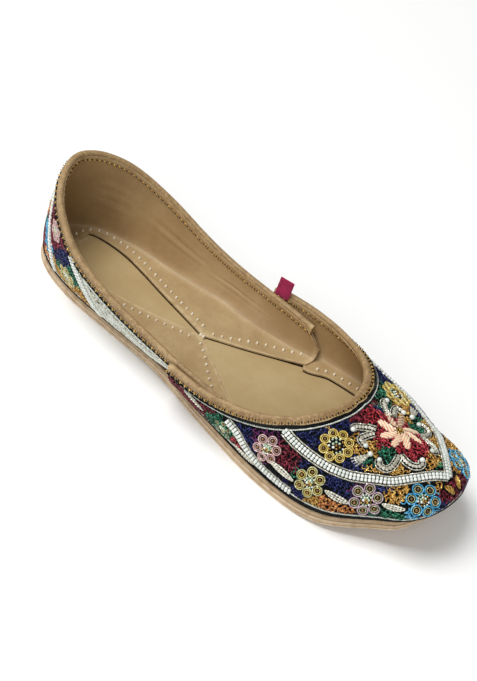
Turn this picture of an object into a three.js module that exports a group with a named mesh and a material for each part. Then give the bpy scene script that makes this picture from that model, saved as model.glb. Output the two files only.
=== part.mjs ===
// A flat slip-on mojari shoe: stitched leather sole, vamp with a deep throat, one-piece quarter round the heel.
// Millimetres. +X runs from heel to toe, +Z up, and Y = 0 is the plane that the shoe is symmetric about.
// The shoe stands on Z = 0 with the middle of its length at X = 0.

import * as THREE from 'three';

// ---- Driving dimensions -------------------------------------------------------------------------

const FEATHER_HALF_LENGTH = 121; // the line where the upper meets the sole, heel to toe, halved
const FEATHER_MIDDLE = -0.25; // X of its middle
const END_POWER = 6; // how late the outline rounds into its ends
const TOE_SPRING = 17; // rise of the sole at its tip
const SPRING_START = 62; // X where the sole leaves the ground
const SPRING_POWER = 1.9;
const ARCH_RISE = 1.6;
const ARCH_START = -62;
const ARCH_END = 8;

const GAP = 0.3; // between neighbouring pieces
const OUTSOLE = 3.2;
const MIDSOLE_HEEL = 1.2;
const MIDSOLE_FORE = 2.1;
const INSOLE = 1.6;
const MARGIN = 1.5; // turned-in edge of the upper, lying on the insole
const WALL = 2.0; // leather, lining and embroidery ground of the upper
const SOLE_MARGIN = 1.6; // sole beyond the upper
const BINDING_DEPTH = 2.9;
const BINDING_THICKNESS = 2.7;
const TUCK = 3.6; // the quarter lies this much further in where the vamp covers it
const TUCK_START = -34;
const TUCK_END = -15;

const QUARTER_FRONT = 21; // X at the feather line of the quarter's front ends
const COLLAR_BINDING_FRONT = 4;
const CLIP_START = 11; // X where the top of each front end is clipped
const CLIP_SHARE = 0.45; // share of the height that the clip takes away at the end
const VAMP_BACK = -12; // X at the feather line of the wings' back edge
const VAMP_MARGIN_BACK = 27;
const VAMP_MARGIN_WIDTH = 7;
const MARGIN_CENTRE = 80; // X that the toe part of the vamp's margin runs round
const MARGIN_MEETING = -24; // X where the two sides' turned-in edges meet on the insole

// Half width of the feather line, before its ends are rounded.
const WIDTHS = [
  { x: -125, half: 23.5 },
  { x: -85, half: 24.5 },
  { x: -60, half: 24.6 },
  { x: -30, half: 27 },
  { x: 5, half: 34 },
  { x: 38, half: 40.5 },
  { x: 62, half: 42.3 },
  { x: 82, half: 41 },
  { x: 102, half: 34.2 },
  { x: 114, half: 36.5 },
  { x: 125, half: 37 },
];

// The collar and the ribs of the quarter, by the X of each rib's foot on the feather line.
// flare: how far out the collar is from the foot. height: of the collar above the ground.
// out, up: first handle of the rib, from its foot. angle, reach: second handle, from the collar.
const QUARTER_RIBS = [
  { x: -122.5, flare: -3, height: 59.5, out: 4, up: 16, angle: 82, reach: 18 },
  { x: -119, flare: -1.6, height: 58.3, out: 4, up: 15, angle: 84, reach: 17 },
  { x: -111, flare: 2.8, height: 55, out: 4.5, up: 11, angle: 90, reach: 15 },
  { x: -100, flare: 8, height: 49.5, out: 5, up: 8, angle: 97, reach: 13 },
  { x: -80, flare: 12.3, height: 39.5, out: 6, up: 7, angle: 102, reach: 10 },
  { x: -50, flare: 12, height: 30.8, out: 6, up: 6, angle: 100, reach: 8 },
  { x: -20, flare: 9.2, height: 27, out: 5.5, up: 5, angle: 98, reach: 7 },
  { x: 0, flare: 5.4, height: 25.8, out: 5, up: 5, angle: 95, reach: 7 },
  { x: 21, flare: 0.5, height: 24.5, out: 3.5, up: 6, angle: 86, reach: 7 },
];

// The throat line, from the back corner of a wing to the middle of the instep.
const THROAT = [
  { x: -14, y: 43, z: 27.5 },
  { x: 5, y: 44.2, z: 28.8 },
  { x: 20, y: 42.3, z: 30.5 },
  { x: 32, y: 38.3, z: 32.4 },
  { x: 42, y: 32.3, z: 34.6 },
  { x: 50.5, y: 23.5, z: 36.9 },
  { x: 56.5, y: 12.5, z: 38.8 },
  { x: 58.8, y: 0, z: 39.6 },
];

// The ribs of the vamp, by the share t of the feather line from the heel (0) to the toe (1).
// step: the place on the throat line, in its points. turn: 0 where the rib's top leans across the
// shoe, 1 where it points along the rib.
const VAMP_RIBS = [
  { t: 0.46, step: -0.2, out: 6.5, up: 5, angle: 97, reach: 8, turn: 0 },
  { t: 0.515, step: 1, out: 6, up: 6, angle: 94, reach: 8, turn: 0 },
  { t: 0.555, step: 2, out: 5.5, up: 8, angle: 84, reach: 9, turn: 0 },
  { t: 0.59, step: 3, out: 5, up: 10, angle: 66, reach: 11, turn: 0.05 },
  { t: 0.632, step: 4, out: 4.5, up: 12, angle: 43, reach: 13, turn: 0.35 },
  { t: 0.7, step: 5, out: 4.5, up: 15, angle: 24, reach: 18, turn: 0.85 },
  { t: 0.8, step: 6, out: 5.5, up: 15, angle: 11, reach: 27, turn: 1 },
  { t: 0.9, step: 6.55, out: 12, up: 14.5, angle: 11, reach: 39, turn: 1 },
  { t: 1, step: 7, out: 11.8, up: 14, angle: -6, reach: 38, turn: 1 },
];

// Inner edges of the turned-in margins on the insole, half widths.
const HEEL_SOCK = [
  { x: -110, half: 4 },
  { x: -104, half: 11 },
  { x: -94, half: 14 },
  { x: -82, half: 13.6 },
  { x: -60, half: 9.2 },
  { x: -36, half: 3.2 },
  { x: -24, half: 0.25 },
];
const FORE_SOCK = [
  { x: -24, half: 0.25 },
  { x: -10, half: 8.5 },
  { x: 6, half: 18.5 },
  { x: 21, half: 27 },
];

// ---- Small maths --------------------------------------------------------------------------------

// A smooth function through a table's rows, flat beyond its ends.
function through(rows, key, column) {
  const last = rows.length - 1;
  const slope = (i) => {
    const a = rows[Math.max(i - 1, 0)];
    const b = rows[Math.min(i + 1, last)];
    return (b[column] - a[column]) / (b[key] - a[key]);
  };
  return (at) => {
    if (at <= rows[0][key]) return rows[0][column];
    if (at >= rows[last][key]) return rows[last][column];
    let i = 0;
    while (at > rows[i + 1][key]) i += 1;
    const span = rows[i + 1][key] - rows[i][key];
    const s = (at - rows[i][key]) / span;
    const rise = 3 * s * s - 2 * s * s * s;
    return rows[i][column] * (1 - rise) + rows[i + 1][column] * rise
      + slope(i) * span * s * (1 - s) * (1 - s) - slope(i + 1) * span * s * s * (1 - s);
  };
}

// 0 below a, 1 above b, smooth between.
function ramp(value, a, b) {
  const s = Math.min(Math.max((value - a) / (b - a), 0), 1);
  return s * s * (3 - 2 * s);
}

function bezier(p0, p1, p2, p3, s) {
  const r = 1 - s;
  return new THREE.Vector3()
    .addScaledVector(p0, r * r * r)
    .addScaledVector(p1, 3 * r * r * s)
    .addScaledVector(p2, 3 * r * s * s)
    .addScaledVector(p3, s * s * s);
}

const mirrored = (p) => new THREE.Vector3(p.x, -p.y, p.z);

// ---- Sole lines ---------------------------------------------------------------------------------

const halfWidth = through(WIDTHS, 'x', 'half');

// Height of the sole's underside.
function ground(x) {
  const spring = Math.max((x - SPRING_START) / (FEATHER_MIDDLE + FEATHER_HALF_LENGTH - SPRING_START), 0);
  const arch = Math.min(Math.max((x - ARCH_START) / (ARCH_END - ARCH_START), 0), 1);
  return TOE_SPRING * spring ** SPRING_POWER + ARCH_RISE * Math.sin(Math.PI * arch) ** 2;
}

const midsole = (x) => MIDSOLE_HEEL + (MIDSOLE_FORE - MIDSOLE_HEEL) * ramp(x, -40, 30);
const midsoleBase = (x) => ground(x) + OUTSOLE + GAP;
const featherHeight = (x) => midsoleBase(x) + midsole(x) + GAP;
const marginBase = (x) => featherHeight(x) + INSOLE + GAP;

// The feather line on the far side, t from the heel (0) to the toe (1).
function footPlan(t) {
  const along = -Math.cos(Math.PI * t);
  const x = FEATHER_MIDDLE + FEATHER_HALF_LENGTH * along;
  const y = halfWidth(x) * Math.sqrt(Math.max(1 - along ** END_POWER, 0));
  return new THREE.Vector3(x, t < 0 || t > 1 ? -y : y, 0);
}

// Outward direction in plan.
function outward(t) {
  const step = 1e-3;
  const run = footPlan(t + step).sub(footPlan(t - step)).normalize();
  return new THREE.Vector3(-run.y, run.x, 0);
}

function shareAt(x) {
  return Math.acos((FEATHER_MIDDLE - x) / FEATHER_HALF_LENGTH) / Math.PI;
}

// ---- The upper's two surfaces: v = 0 at the sole and 1 at the top edge ----------------------------

function ribTo(top, foot, out, row, heading, v) {
  const low = foot.clone().addScaledVector(out, row.out);
  low.z += row.up;
  const angle = THREE.MathUtils.degToRad(row.angle);
  const high = top.clone().addScaledVector(heading, row.reach * Math.cos(angle));
  high.z -= row.reach * Math.sin(angle);
  return bezier(foot, low, high, top, v);
}

function rowAt(columns, at) {
  return Object.fromEntries(Object.entries(columns).map(([name, f]) => [name, f(at)]));
}

function columnsOf(rows, key) {
  const names = Object.keys(rows[0]).filter((name) => name !== key);
  return Object.fromEntries(names.map((name) => [name, through(rows, key, name)]));
}

const quarterColumns = columnsOf(QUARTER_RIBS, 'x');
const vampColumns = columnsOf(VAMP_RIBS, 't');
const throatRows = THROAT.map((p, i) => ({ i, ...p }));
throatRows.push({ i: THROAT.length, x: THROAT.at(-2).x, y: -THROAT.at(-2).y, z: THROAT.at(-2).z });
const throatColumns = columnsOf(throatRows, 'i');

function quarterSurface(t, v) {
  if (t < 0) return mirrored(quarterSurface(-t, v));
  const foot = footPlan(t);
  const out = outward(t);
  const row = rowAt(quarterColumns, foot.x);
  foot.addScaledVector(out, -TUCK * ramp(foot.x, TUCK_START, TUCK_END));
  foot.z = featherHeight(foot.x);
  const top = footPlan(t).addScaledVector(out, row.flare);
  top.z = row.height;
  return ribTo(top, foot, out, row, out, v);
}

function throatPoint(step) {
  const p = rowAt(throatColumns, step);
  return new THREE.Vector3(p.x, p.y, p.z);
}

function vampSurface(t, v) {
  if (t > 1) return mirrored(vampSurface(2 - t, v));
  const foot = footPlan(t);
  const out = outward(t);
  const row = rowAt(vampColumns, t);
  foot.z = featherHeight(foot.x);
  const top = throatPoint(row.step);
  const away = foot.clone().sub(top).setZ(0).normalize();
  const heading = out.clone().lerp(away, row.turn).normalize();
  return ribTo(top, foot, out, row, heading, v);
}

// A point at depth d inside a surface (negative: outside it).
function inside(surface, t, v, d) {
  const step = 1e-3;
  const along = surface(t + step, v).sub(surface(t - step, v));
  const up = surface(t, v + step).sub(surface(t, v - step));
  const normal = along.cross(up).normalize();
  return surface(t, v).addScaledVector(normal, d);
}

// ---- Closed bodies --------------------------------------------------------------------------------

// Joins sections into a closed body. A section is a list of pairs [one side, other side].
function loft(sections) {
  const pairs = sections[0].length;
  const ring = 2 * pairs;
  const position = [];
  for (const section of sections) {
    for (let i = 0; i < pairs; i += 1) position.push(...section[i][0].toArray());
    for (let i = pairs - 1; i >= 0; i -= 1) position.push(...section[i][1].toArray());
  }
  const index = [];
  for (let s = 0; s < sections.length - 1; s += 1) {
    for (let i = 0; i < ring; i += 1) {
      const a = s * ring + i;
      const b = s * ring + ((i + 1) % ring);
      index.push(a, b, b + ring, a, b + ring, a + ring);
    }
  }
  const end = (sections.length - 1) * ring;
  for (let i = 0; i < pairs - 1; i += 1) {
    const j = ring - 1 - i;
    index.push(i, j, j - 1, i, j - 1, i + 1);
    index.push(end + i, end + j - 1, end + j, end + i, end + i + 1, end + j - 1);
  }
  return oriented(position, index);
}

// Turns the faces round if the body's volume comes out negative.
function oriented(position, index) {
  const at = (i) => new THREE.Vector3().fromArray(position, 3 * i);
  let volume = 0;
  for (let i = 0; i < index.length; i += 3) {
    volume += at(index[i]).dot(at(index[i + 1]).cross(at(index[i + 2])));
  }
  if (volume < 0) index.reverse();
  const geometry = new THREE.BufferGeometry();
  geometry.setAttribute('position', new THREE.Float32BufferAttribute(position, 3));
  geometry.setIndex(index);
  geometry.computeVertexNormals();
  return geometry;
}

function steps(from, to, count) {
  return Array.from({ length: count + 1 }, (_, i) => from + ((to - from) * i) / count);
}

// ---- Sole, insole and margins ---------------------------------------------------------------------

const END = 0.02; // share of the outline left as the blunt end of a plate

// A plate whose outline is the feather line moved out by `offset(x)`.
function plate(base, thickness, offset, count) {
  const sections = steps(END, 1 - END, count).map((t) => {
    const edge = footPlan(t);
    edge.addScaledVector(outward(t), offset(edge.x));
    const z = base(edge.x);
    const depth = thickness(edge.x);
    const chamfer = 0.2 * depth;
    const pair = (y, trim) => [
      new THREE.Vector3(edge.x, y, z + depth - trim),
      new THREE.Vector3(edge.x, y, z + trim),
    ];
    const inner = edge.y - 0.7;
    return [pair(-edge.y, chamfer), pair(-inner, 0), pair(0, 0), pair(inner, 0), pair(edge.y, chamfer)];
  });
  return loft(sections);
}

// The sole's tip stays behind the toe of the upper.
const soleMargin = (x) => SOLE_MARGIN - 2.4 * ramp(x, 108, 119);
const wallInset = (x) => -2.6 - TUCK * ramp(x, TUCK_START, TUCK_END) * (1 - ramp(x, 22, 34));

const heelSock = through(HEEL_SOCK, 'x', 'half');
const foreSock = through(FORE_SOCK, 'x', 'half');

// Turned-in edge of the quarter, from its front end on one side round the heel to the other.
// The two sides all but meet in the middle of the insole.
function quarterMargin() {
  const front = shareAt(QUARTER_FRONT);
  const back = HEEL_SOCK[0].x;
  const sections = steps(-front, front, 64).map((u) => {
    const side = Math.sign(u) || 1;
    const outer = footPlan(Math.abs(u));
    outer.addScaledVector(outward(Math.abs(u)), wallInset(outer.x));
    const sock = outer.x < MARGIN_MEETING ? heelSock : foreSock;
    const x = Math.max(outer.x, back);
    const share = Math.min(outer.y / 6, 1);
    const inner = new THREE.Vector3(x, sock(x) * share, 0);
    const z = marginBase(outer.x);
    const at = (p, up) => new THREE.Vector3(p.x, p.y * side, z + up);
    return [
      [at(inner, MARGIN), at(inner, 0)],
      [at(outer, MARGIN), at(outer, 0)],
    ];
  });
  return loft(sections);
}

// Turned-in edge of the vamp, round the toe. Its inner edge keeps clear of itself there.
function vampMargin() {
  const start = shareAt(VAMP_MARGIN_BACK);
  const sections = steps(start, 2 - start, 48).map((u) => {
    const side = u > 1 ? -1 : 1;
    const t = u > 1 ? 2 - u : u;
    const outer = footPlan(t);
    outer.addScaledVector(outward(t), wallInset(outer.x));
    const z = marginBase(outer.x);
    const centre = new THREE.Vector3(Math.min(outer.x, MARGIN_CENTRE), 0, 0);
    const inner = outer.clone().lerp(centre, VAMP_MARGIN_WIDTH / outer.distanceTo(centre));
    const at = (p, up) => new THREE.Vector3(p.x, p.y * side, z + up);
    return [
      [at(inner, MARGIN), at(inner, 0)],
      [at(outer, MARGIN), at(outer, 0)],
    ];
  });
  return loft(sections);
}

// ---- Upper ----------------------------------------------------------------------------------------

// How far up a rib, as a share of it, a length measured down from its top lies.
function belowTop(surface, t, length) {
  const slope = surface(t, 1).distanceTo(surface(t, 0.98)) / 0.02;
  return 1 - length / slope;
}

function wall(surface, from, to, count, rows, clip = () => 0) {
  const sections = steps(from, to, count).map((t) => {
    const top = belowTop(surface, t, BINDING_DEPTH + GAP) - clip(t);
    return steps(0, top, rows).map((v) => [inside(surface, t, v, 0), inside(surface, t, v, WALL)]);
  });
  return loft(sections);
}

// The quarter's front ends lie hidden under the wings, with their top corners clipped off.
function frontClip(t) {
  const x = footPlan(Math.abs(t)).x;
  return CLIP_SHARE * Math.max((x - CLIP_START) / (QUARTER_FRONT - CLIP_START), 0);
}

// A rolled edge on top of a wall.
function binding(surface, from, to, count) {
  const proud = (BINDING_THICKNESS - WALL) / 2;
  const profile = [
    { down: BINDING_DEPTH, trim: 0.35 },
    { down: BINDING_DEPTH * 0.75, trim: 0 },
    { down: BINDING_DEPTH * 0.25, trim: 0.15 },
    { down: 0, trim: 0.75 },
  ];
  const sections = steps(from, to, count).map((t) => profile.map(({ down, trim }) => {
    const v = belowTop(surface, t, down);
    return [inside(surface, t, v, trim - proud), inside(surface, t, v, WALL + proud - trim)];
  }));
  return loft(sections);
}

// A folded cloth tab caught behind the back corner of the far wing.
function tab() {
  const sections = steps(0.452, 0.485, 4).map((t) => {
    const row = rowAt(vampColumns, t);
    const foot = throatPoint(row.step).addScaledVector(outward(t), -2.75);
    const at = (up, deep) => foot.clone().addScaledVector(outward(t), -deep + 0.12 * up).setZ(foot.z + up);
    return steps(-3, 6.5, 4).map((up) => [at(up, 0), at(up, 0.8)]);
  });
  return loft(sections);
}

// ---- Assembly -------------------------------------------------------------------------------------

const group = new THREE.Group();

function add(name, geometry, color, roughness) {
  const material = new THREE.MeshStandardMaterial({ color, roughness, metalness: 0 });
  const mesh = new THREE.Mesh(geometry, material);
  mesh.name = name;
  group.add(mesh);
}

const TAN = 0xb98a66;
const quarterEnd = shareAt(QUARTER_FRONT);
const bindingEnd = shareAt(COLLAR_BINDING_FRONT);
const wingBack = shareAt(VAMP_BACK);

add('outsole', plate(ground, () => OUTSOLE, soleMargin, 40), 0xa87a58, 0.7);
add('midsole', plate(midsoleBase, midsole, (x) => soleMargin(x) - 0.5, 40), 0x8a5a3a, 0.8);
add('insole', plate(featherHeight, () => INSOLE, wallInset, 40), 0xb8906c, 0.55);
add('quarter_margin', quarterMargin(), TAN, 0.55);
add('vamp_margin', vampMargin(), TAN, 0.55);
add('quarter', wall(quarterSurface, -quarterEnd, quarterEnd, 64, 7, frontClip), TAN, 0.55);
add('vamp', wall(vampSurface, wingBack, 2 - wingBack, 84, 11), 0x5a3a34, 0.6);
add('collar_binding', binding(quarterSurface, -bindingEnd, bindingEnd, 56), 0xa5764f, 0.5);
add('throat_binding', binding(vampSurface, wingBack, 2 - wingBack, 60), 0xa5764f, 0.5);
add('side_tab', tab(), 0xb8125a, 0.8);

export default group;
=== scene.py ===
"""A flat slip-on mojari shoe: leather sole and lining, an embroidered and beaded upper.

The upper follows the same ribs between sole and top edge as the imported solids, so each piece lies
where its solid lies. Sizes are millimetres until a mesh is made: +X runs from heel to toe, +Y to
the wearer's left, +Z up, and the shoe is symmetric about Y = 0.
"""

import logging
import math
from collections.abc import Callable, Sequence
from dataclasses import dataclass, field, replace
from enum import Enum
from typing import Any

import bpy
import numpy as np
from mathutils import Matrix, Vector
from mathutils.bvhtree import BVHTree

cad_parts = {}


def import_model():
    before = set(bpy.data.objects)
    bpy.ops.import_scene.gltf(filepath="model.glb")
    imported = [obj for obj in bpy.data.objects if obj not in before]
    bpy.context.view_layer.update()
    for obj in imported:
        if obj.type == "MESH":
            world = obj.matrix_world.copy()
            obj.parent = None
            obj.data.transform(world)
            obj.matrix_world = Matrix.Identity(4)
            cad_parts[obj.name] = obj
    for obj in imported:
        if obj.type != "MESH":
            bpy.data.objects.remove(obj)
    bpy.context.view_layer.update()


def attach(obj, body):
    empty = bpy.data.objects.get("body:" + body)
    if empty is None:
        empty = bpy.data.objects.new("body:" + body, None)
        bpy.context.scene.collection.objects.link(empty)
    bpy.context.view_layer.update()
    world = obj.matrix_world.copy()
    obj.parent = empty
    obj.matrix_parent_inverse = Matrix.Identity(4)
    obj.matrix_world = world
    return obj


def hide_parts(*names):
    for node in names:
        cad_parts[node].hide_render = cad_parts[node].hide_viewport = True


log = logging.getLogger("mojari")
Array = np.ndarray
MM = 0.001
BODY = "root"


# ---- Small maths --------------------------------------------------------------------------------


class Table:
    """Rows of named columns, read smoothly between the rows and flat beyond them."""

    def __init__(self, names: str, *rows: Sequence[float]) -> None:
        """Keeps the rows.

        Args:
            names: the columns' names, the first of them the one that rows are found by.
            rows: one row of numbers for each place.
        """
        self.columns = dict(zip(names.split(), np.array(rows, float).T))
        self.keys = next(iter(self.columns.values()))

    def read(self, name: str, at: Array | float) -> Array:
        """The column's value.

        Args:
            name: a column.
            at: where to read it, in the first column's unit.

        Returns:
            One value for each place.
        """
        x, y = self.keys, self.columns[name]
        low = np.maximum(np.arange(len(x)) - 1, 0)
        high = np.minimum(np.arange(len(x)) + 1, len(x) - 1)
        slope = (y[high] - y[low]) / (x[high] - x[low])
        at = np.clip(np.asarray(at, float), x[0], x[-1])
        i = np.clip(np.searchsorted(x, at, side="right") - 1, 0, len(x) - 2)
        span = x[i + 1] - x[i]
        s = (at - x[i]) / span
        rise = 3 * s**2 - 2 * s**3
        bend = slope[i] * span * s * (1 - s) ** 2 - slope[i + 1] * span * s**2 * (1 - s)
        return y[i] * (1 - rise) + y[i + 1] * rise + bend


def ramp(value: Array | float, start: float, end: float) -> Array:
    """0 before start, 1 after end, smooth between."""
    s = np.clip((np.asarray(value, float) - start) / (end - start), 0, 1)
    return s * s * (3 - 2 * s)


def unit(v: Array) -> Array:
    """The vectors at length one."""
    return v / np.maximum(np.linalg.norm(v, axis=-1, keepdims=True), 1e-9)


def xyz(x: Array | float, y: Array | float, z: Array | float) -> Array:
    """Points from their coordinates."""
    return np.stack(np.broadcast_arrays(np.asarray(x, float), y, z), axis=-1)


def lengths(points: Array) -> Array:
    """Length along a line from its first point to each of them."""
    return np.append(0, np.cumsum(np.linalg.norm(np.diff(points, axis=0), axis=1)))


def resampled(points: Array, step: float) -> Array:
    """The same line with its points about `step` apart."""
    run = lengths(points)
    count = max(int(round(run[-1] / step)), 2)
    at = np.linspace(0, run[-1], count + 1)
    return np.stack([np.interp(at, run, points[:, k]) for k in range(points.shape[1])], axis=-1)


def rounded(points: Sequence[Sequence[float]] | Array, per_span: int = 10) -> Array:
    """A smooth line through the points.

    Args:
        points: the points, in order.
        per_span: how many new points each span gets.

    Returns:
        The line's points.
    """
    p = np.array(points, float)
    p = np.concatenate([[2 * p[0] - p[1]], p, [2 * p[-1] - p[-2]]])
    s = np.linspace(0, 1, per_span, endpoint=False)[:, None]
    spans = []
    for a, b, c, d in zip(p, p[1:], p[2:], p[3:]):
        turn = 2 * a - 5 * b + 4 * c - d
        spans.append(b + 0.5 * s * ((c - a) + s * (turn + s * (3 * (b - c) + d - a))))
    return np.concatenate([*spans, p[-2:-1]])


# ---- The last: sole lines and the upper's two surfaces --------------------------------------------


@dataclass(frozen=True)
class Last:
    """The shoe's own sizes and the surfaces that follow from them."""

    half_length: float = 121.0
    middle: float = -0.25
    end_power: float = 6.0
    toe_spring: float = 17.0
    spring_start: float = 62.0
    spring_power: float = 1.9
    arch_rise: float = 1.6
    arch_start: float = -62.0
    arch_end: float = 8.0
    gap: float = 0.3
    outsole: float = 3.2
    midsole_heel: float = 1.2
    midsole_fore: float = 2.1
    insole: float = 1.6
    margin: float = 1.5
    wall: float = 2.0
    hem: float = 1.6
    tuck: float = 3.6
    quarter_front: float = 21.0
    vamp_back: float = -12.0
    widths: Table = Table(
        "x half",
        (-125, 23.5), (-85, 24.5), (-60, 24.6), (-30, 27), (5, 34),
        (38, 40.5), (62, 42.3), (82, 41), (102, 34.2), (114, 36.5), (125, 37),
    )
    quarter_ribs: Table = Table(
        "x flare height out up angle reach",
        (-122.5, -3, 59.5, 4, 16, 82, 18),
        (-119, -1.6, 58.3, 4, 15, 84, 17),
        (-111, 2.8, 55, 4.5, 11, 90, 15),
        (-100, 8, 49.5, 5, 8, 97, 13),
        (-80, 12.3, 39.5, 6, 7, 102, 10),
        (-50, 12, 30.8, 6, 6, 100, 8),
        (-20, 9.2, 27, 5.5, 5, 98, 7),
        (0, 5.4, 25.8, 5, 5, 95, 7),
        (21, 0.5, 24.5, 3.5, 6, 86, 7),
    )
    throat: Table = Table(
        "step x y z",
        (0, -14, 43, 27.5), (1, 5, 44.2, 28.8), (2, 20, 42.3, 30.5), (3, 32, 38.3, 32.4),
        (4, 42, 32.3, 34.6), (5, 50.5, 23.5, 36.9), (6, 56.5, 12.5, 38.8), (7, 58.8, 0, 39.6),
        (8, 56.5, -12.5, 38.8),
    )
    vamp_ribs: Table = Table(
        "t step out up angle reach turn",
        (0.46, -0.2, 6.5, 5, 97, 8, 0),
        (0.515, 1, 6, 6, 94, 8, 0),
        (0.555, 2, 5.5, 8, 84, 9, 0),
        (0.59, 3, 5, 10, 66, 11, 0.05),
        (0.632, 4, 4.5, 12, 43, 13, 0.35),
        (0.7, 5, 4.5, 15, 24, 18, 0.85),
        (0.8, 6, 5.5, 15, 11, 27, 1),
        (0.9, 6.55, 12, 14.5, 11, 39, 1),
        (1, 7, 11.8, 14, -6, 38, 1),
    )

    def ground(self, x: Array | float) -> Array:
        """Height of the sole's underside."""
        x = np.asarray(x, float)
        end = self.middle + self.half_length
        spring = np.maximum((x - self.spring_start) / (end - self.spring_start), 0)
        arch = np.clip((x - self.arch_start) / (self.arch_end - self.arch_start), 0, 1)
        toe = self.toe_spring * spring**self.spring_power
        return toe + self.arch_rise * np.sin(math.pi * arch) ** 2

    def feather(self, x: Array | float) -> Array:
        """Height of the line where upper and sole meet."""
        fore = ramp(x, -40, 30)
        midsole = self.midsole_heel + (self.midsole_fore - self.midsole_heel) * fore
        return self.ground(x) + self.outsole + midsole + 2 * self.gap

    def margin_top(self, x: Array | float) -> Array:
        """Height of the turned-in edge's upper side, on the insole."""
        return self.feather(x) + self.insole + self.gap + self.margin

    def foot(self, t: Array | float) -> Array:
        """The feather line in plan, t from heel (0) to toe (1) on the far side."""
        t = np.asarray(t, float)
        along = -np.cos(math.pi * t)
        x = self.middle + self.half_length * along
        y = self.widths.read("half", x) * np.sqrt(np.maximum(1 - along**self.end_power, 0))
        return xyz(x, np.where((t < 0) | (t > 1), -y, y), 0)

    def outward(self, t: Array | float) -> Array:
        """Outward direction of the feather line in plan."""
        step = 1e-3
        run = unit(self.foot(np.asarray(t) + step) - self.foot(np.asarray(t) - step))
        return xyz(-run[..., 1], run[..., 0], 0)

    def share(self, x: float) -> float:
        """The t of the feather line's point at x."""
        return math.acos((self.middle - x) / self.half_length) / math.pi

    @staticmethod
    def rib(
        top: Array, foot: Array, out: Array, row: dict[str, Array], heading: Array, v: Array
    ) -> Array:
        """Points of ribs.

        Args:
            top: each rib's top.
            foot: each rib's foot.
            out: outward direction at the foot.
            row: sizes of the rib's two handles.
            heading: direction that the top leans in.
            v: share of the way up.

        Returns:
            One point for each rib.
        """
        low = foot + out * row["out"][..., None]
        low[..., 2] += row["up"]
        angle = np.radians(row["angle"])
        high = top + heading * (row["reach"] * np.cos(angle))[..., None]
        high[..., 2] -= row["reach"] * np.sin(angle)
        v = np.asarray(v, float)[..., None]
        r = 1 - v
        return r**3 * foot + 3 * r * r * v * low + 3 * r * v * v * high + v**3 * top

    def quarter(self, t: Array, v: Array) -> Array:
        """Outer surface of the quarter, t negative on the near side, v from sole to collar."""
        t, v = np.broadcast_arrays(np.asarray(t, float), v)
        share = np.abs(t)
        foot, out = self.foot(share), self.outward(share)
        row = {k: self.quarter_ribs.read(k, foot[..., 0]) for k in self.quarter_ribs.columns}
        top = foot + out * row["flare"][..., None]
        top[..., 2] = row["height"]
        foot = foot - out * (self.tuck * ramp(foot[..., 0], -34, -15))[..., None]
        foot[..., 2] = self.feather(foot[..., 0])
        p = self.rib(top, foot, out, row, out, v)
        p[..., 1] *= np.where(t < 0, -1, 1)
        return p

    def vamp(self, t: Array, v: Array) -> Array:
        """Outer surface of the vamp, t above 1 on the near side, v from sole to throat."""
        t, v = np.broadcast_arrays(np.asarray(t, float), v)
        share = np.where(t > 1, 2 - t, t)
        foot, out = self.foot(share), self.outward(share)
        row = {k: self.vamp_ribs.read(k, share) for k in self.vamp_ribs.columns}
        foot[..., 2] = self.feather(foot[..., 0])
        top = xyz(*(self.throat.read(k, row["step"]) for k in "xyz"))
        away = unit((foot - top) * (1, 1, 0))
        heading = unit(out + (away - out) * row["turn"][..., None])
        p = self.rib(top, foot, out, row, heading, v)
        p[..., 1] *= np.where(t > 1, -1, 1)
        return p


LAST = Last()
Surface = Callable[[Array, Array], Array]


def inside(surface: Surface, t: Array, v: Array, depth: Array | float) -> Array:
    """Points at a depth inside a surface, or outside it where the depth is negative."""
    step = 1e-3
    along = surface(t + step, v) - surface(t - step, v)
    up = surface(t, v + step) - surface(t, v - step)
    return surface(t, v) + unit(np.cross(along, up)) * np.asarray(depth, float)[..., None]


def below_top(surface: Surface, t: Array, length: Array | float) -> Array:
    """The v that lies a length in millimetres below the top edge."""
    one = np.ones_like(np.asarray(t, float))
    slope = np.linalg.norm(surface(t, one) - surface(t, 0.98 * one), axis=-1) / 0.02
    return 1 - length / slope


def tip_clip(x: Array) -> Array:
    """How much of v is cut off the quarter's top where its front tips slip under the wings."""
    start = 11.0
    return 0.45 * np.maximum((x - start) / (LAST.quarter_front - start), 0)


# ---- Meshes ---------------------------------------------------------------------------------------


def deselect() -> None:
    """Leaves nothing selected."""
    if bpy.context.object is not None and bpy.context.object.mode != "OBJECT":
        bpy.ops.object.mode_set(mode="OBJECT")
    bpy.ops.object.select_all(action="DESELECT")


def choose(piece: bpy.types.Object) -> None:
    """Makes the piece the only selected one."""
    deselect()
    piece.select_set(True)
    bpy.context.view_layer.objects.active = piece


def apply(piece: bpy.types.Object, kind: str, **settings: Any) -> None:
    """Adds a modifier to the piece and applies it.

    Args:
        piece: the object.
        kind: the modifier's type.
        settings: the modifier's own settings.
    """
    modifier = piece.modifiers.new(kind.title(), kind)
    for name, value in settings.items():
        setattr(modifier, name, value)
    choose(piece)
    bpy.ops.object.modifier_apply(modifier=modifier.name)


def edit(piece: bpy.types.Object, *steps: Callable[[], Any]) -> None:
    """Runs edit-mode operators on the whole of a piece."""
    choose(piece)
    bpy.ops.object.mode_set(mode="EDIT")
    bpy.ops.mesh.select_all(action="SELECT")
    for step in steps:
        step()
    bpy.ops.object.mode_set(mode="OBJECT")


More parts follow.
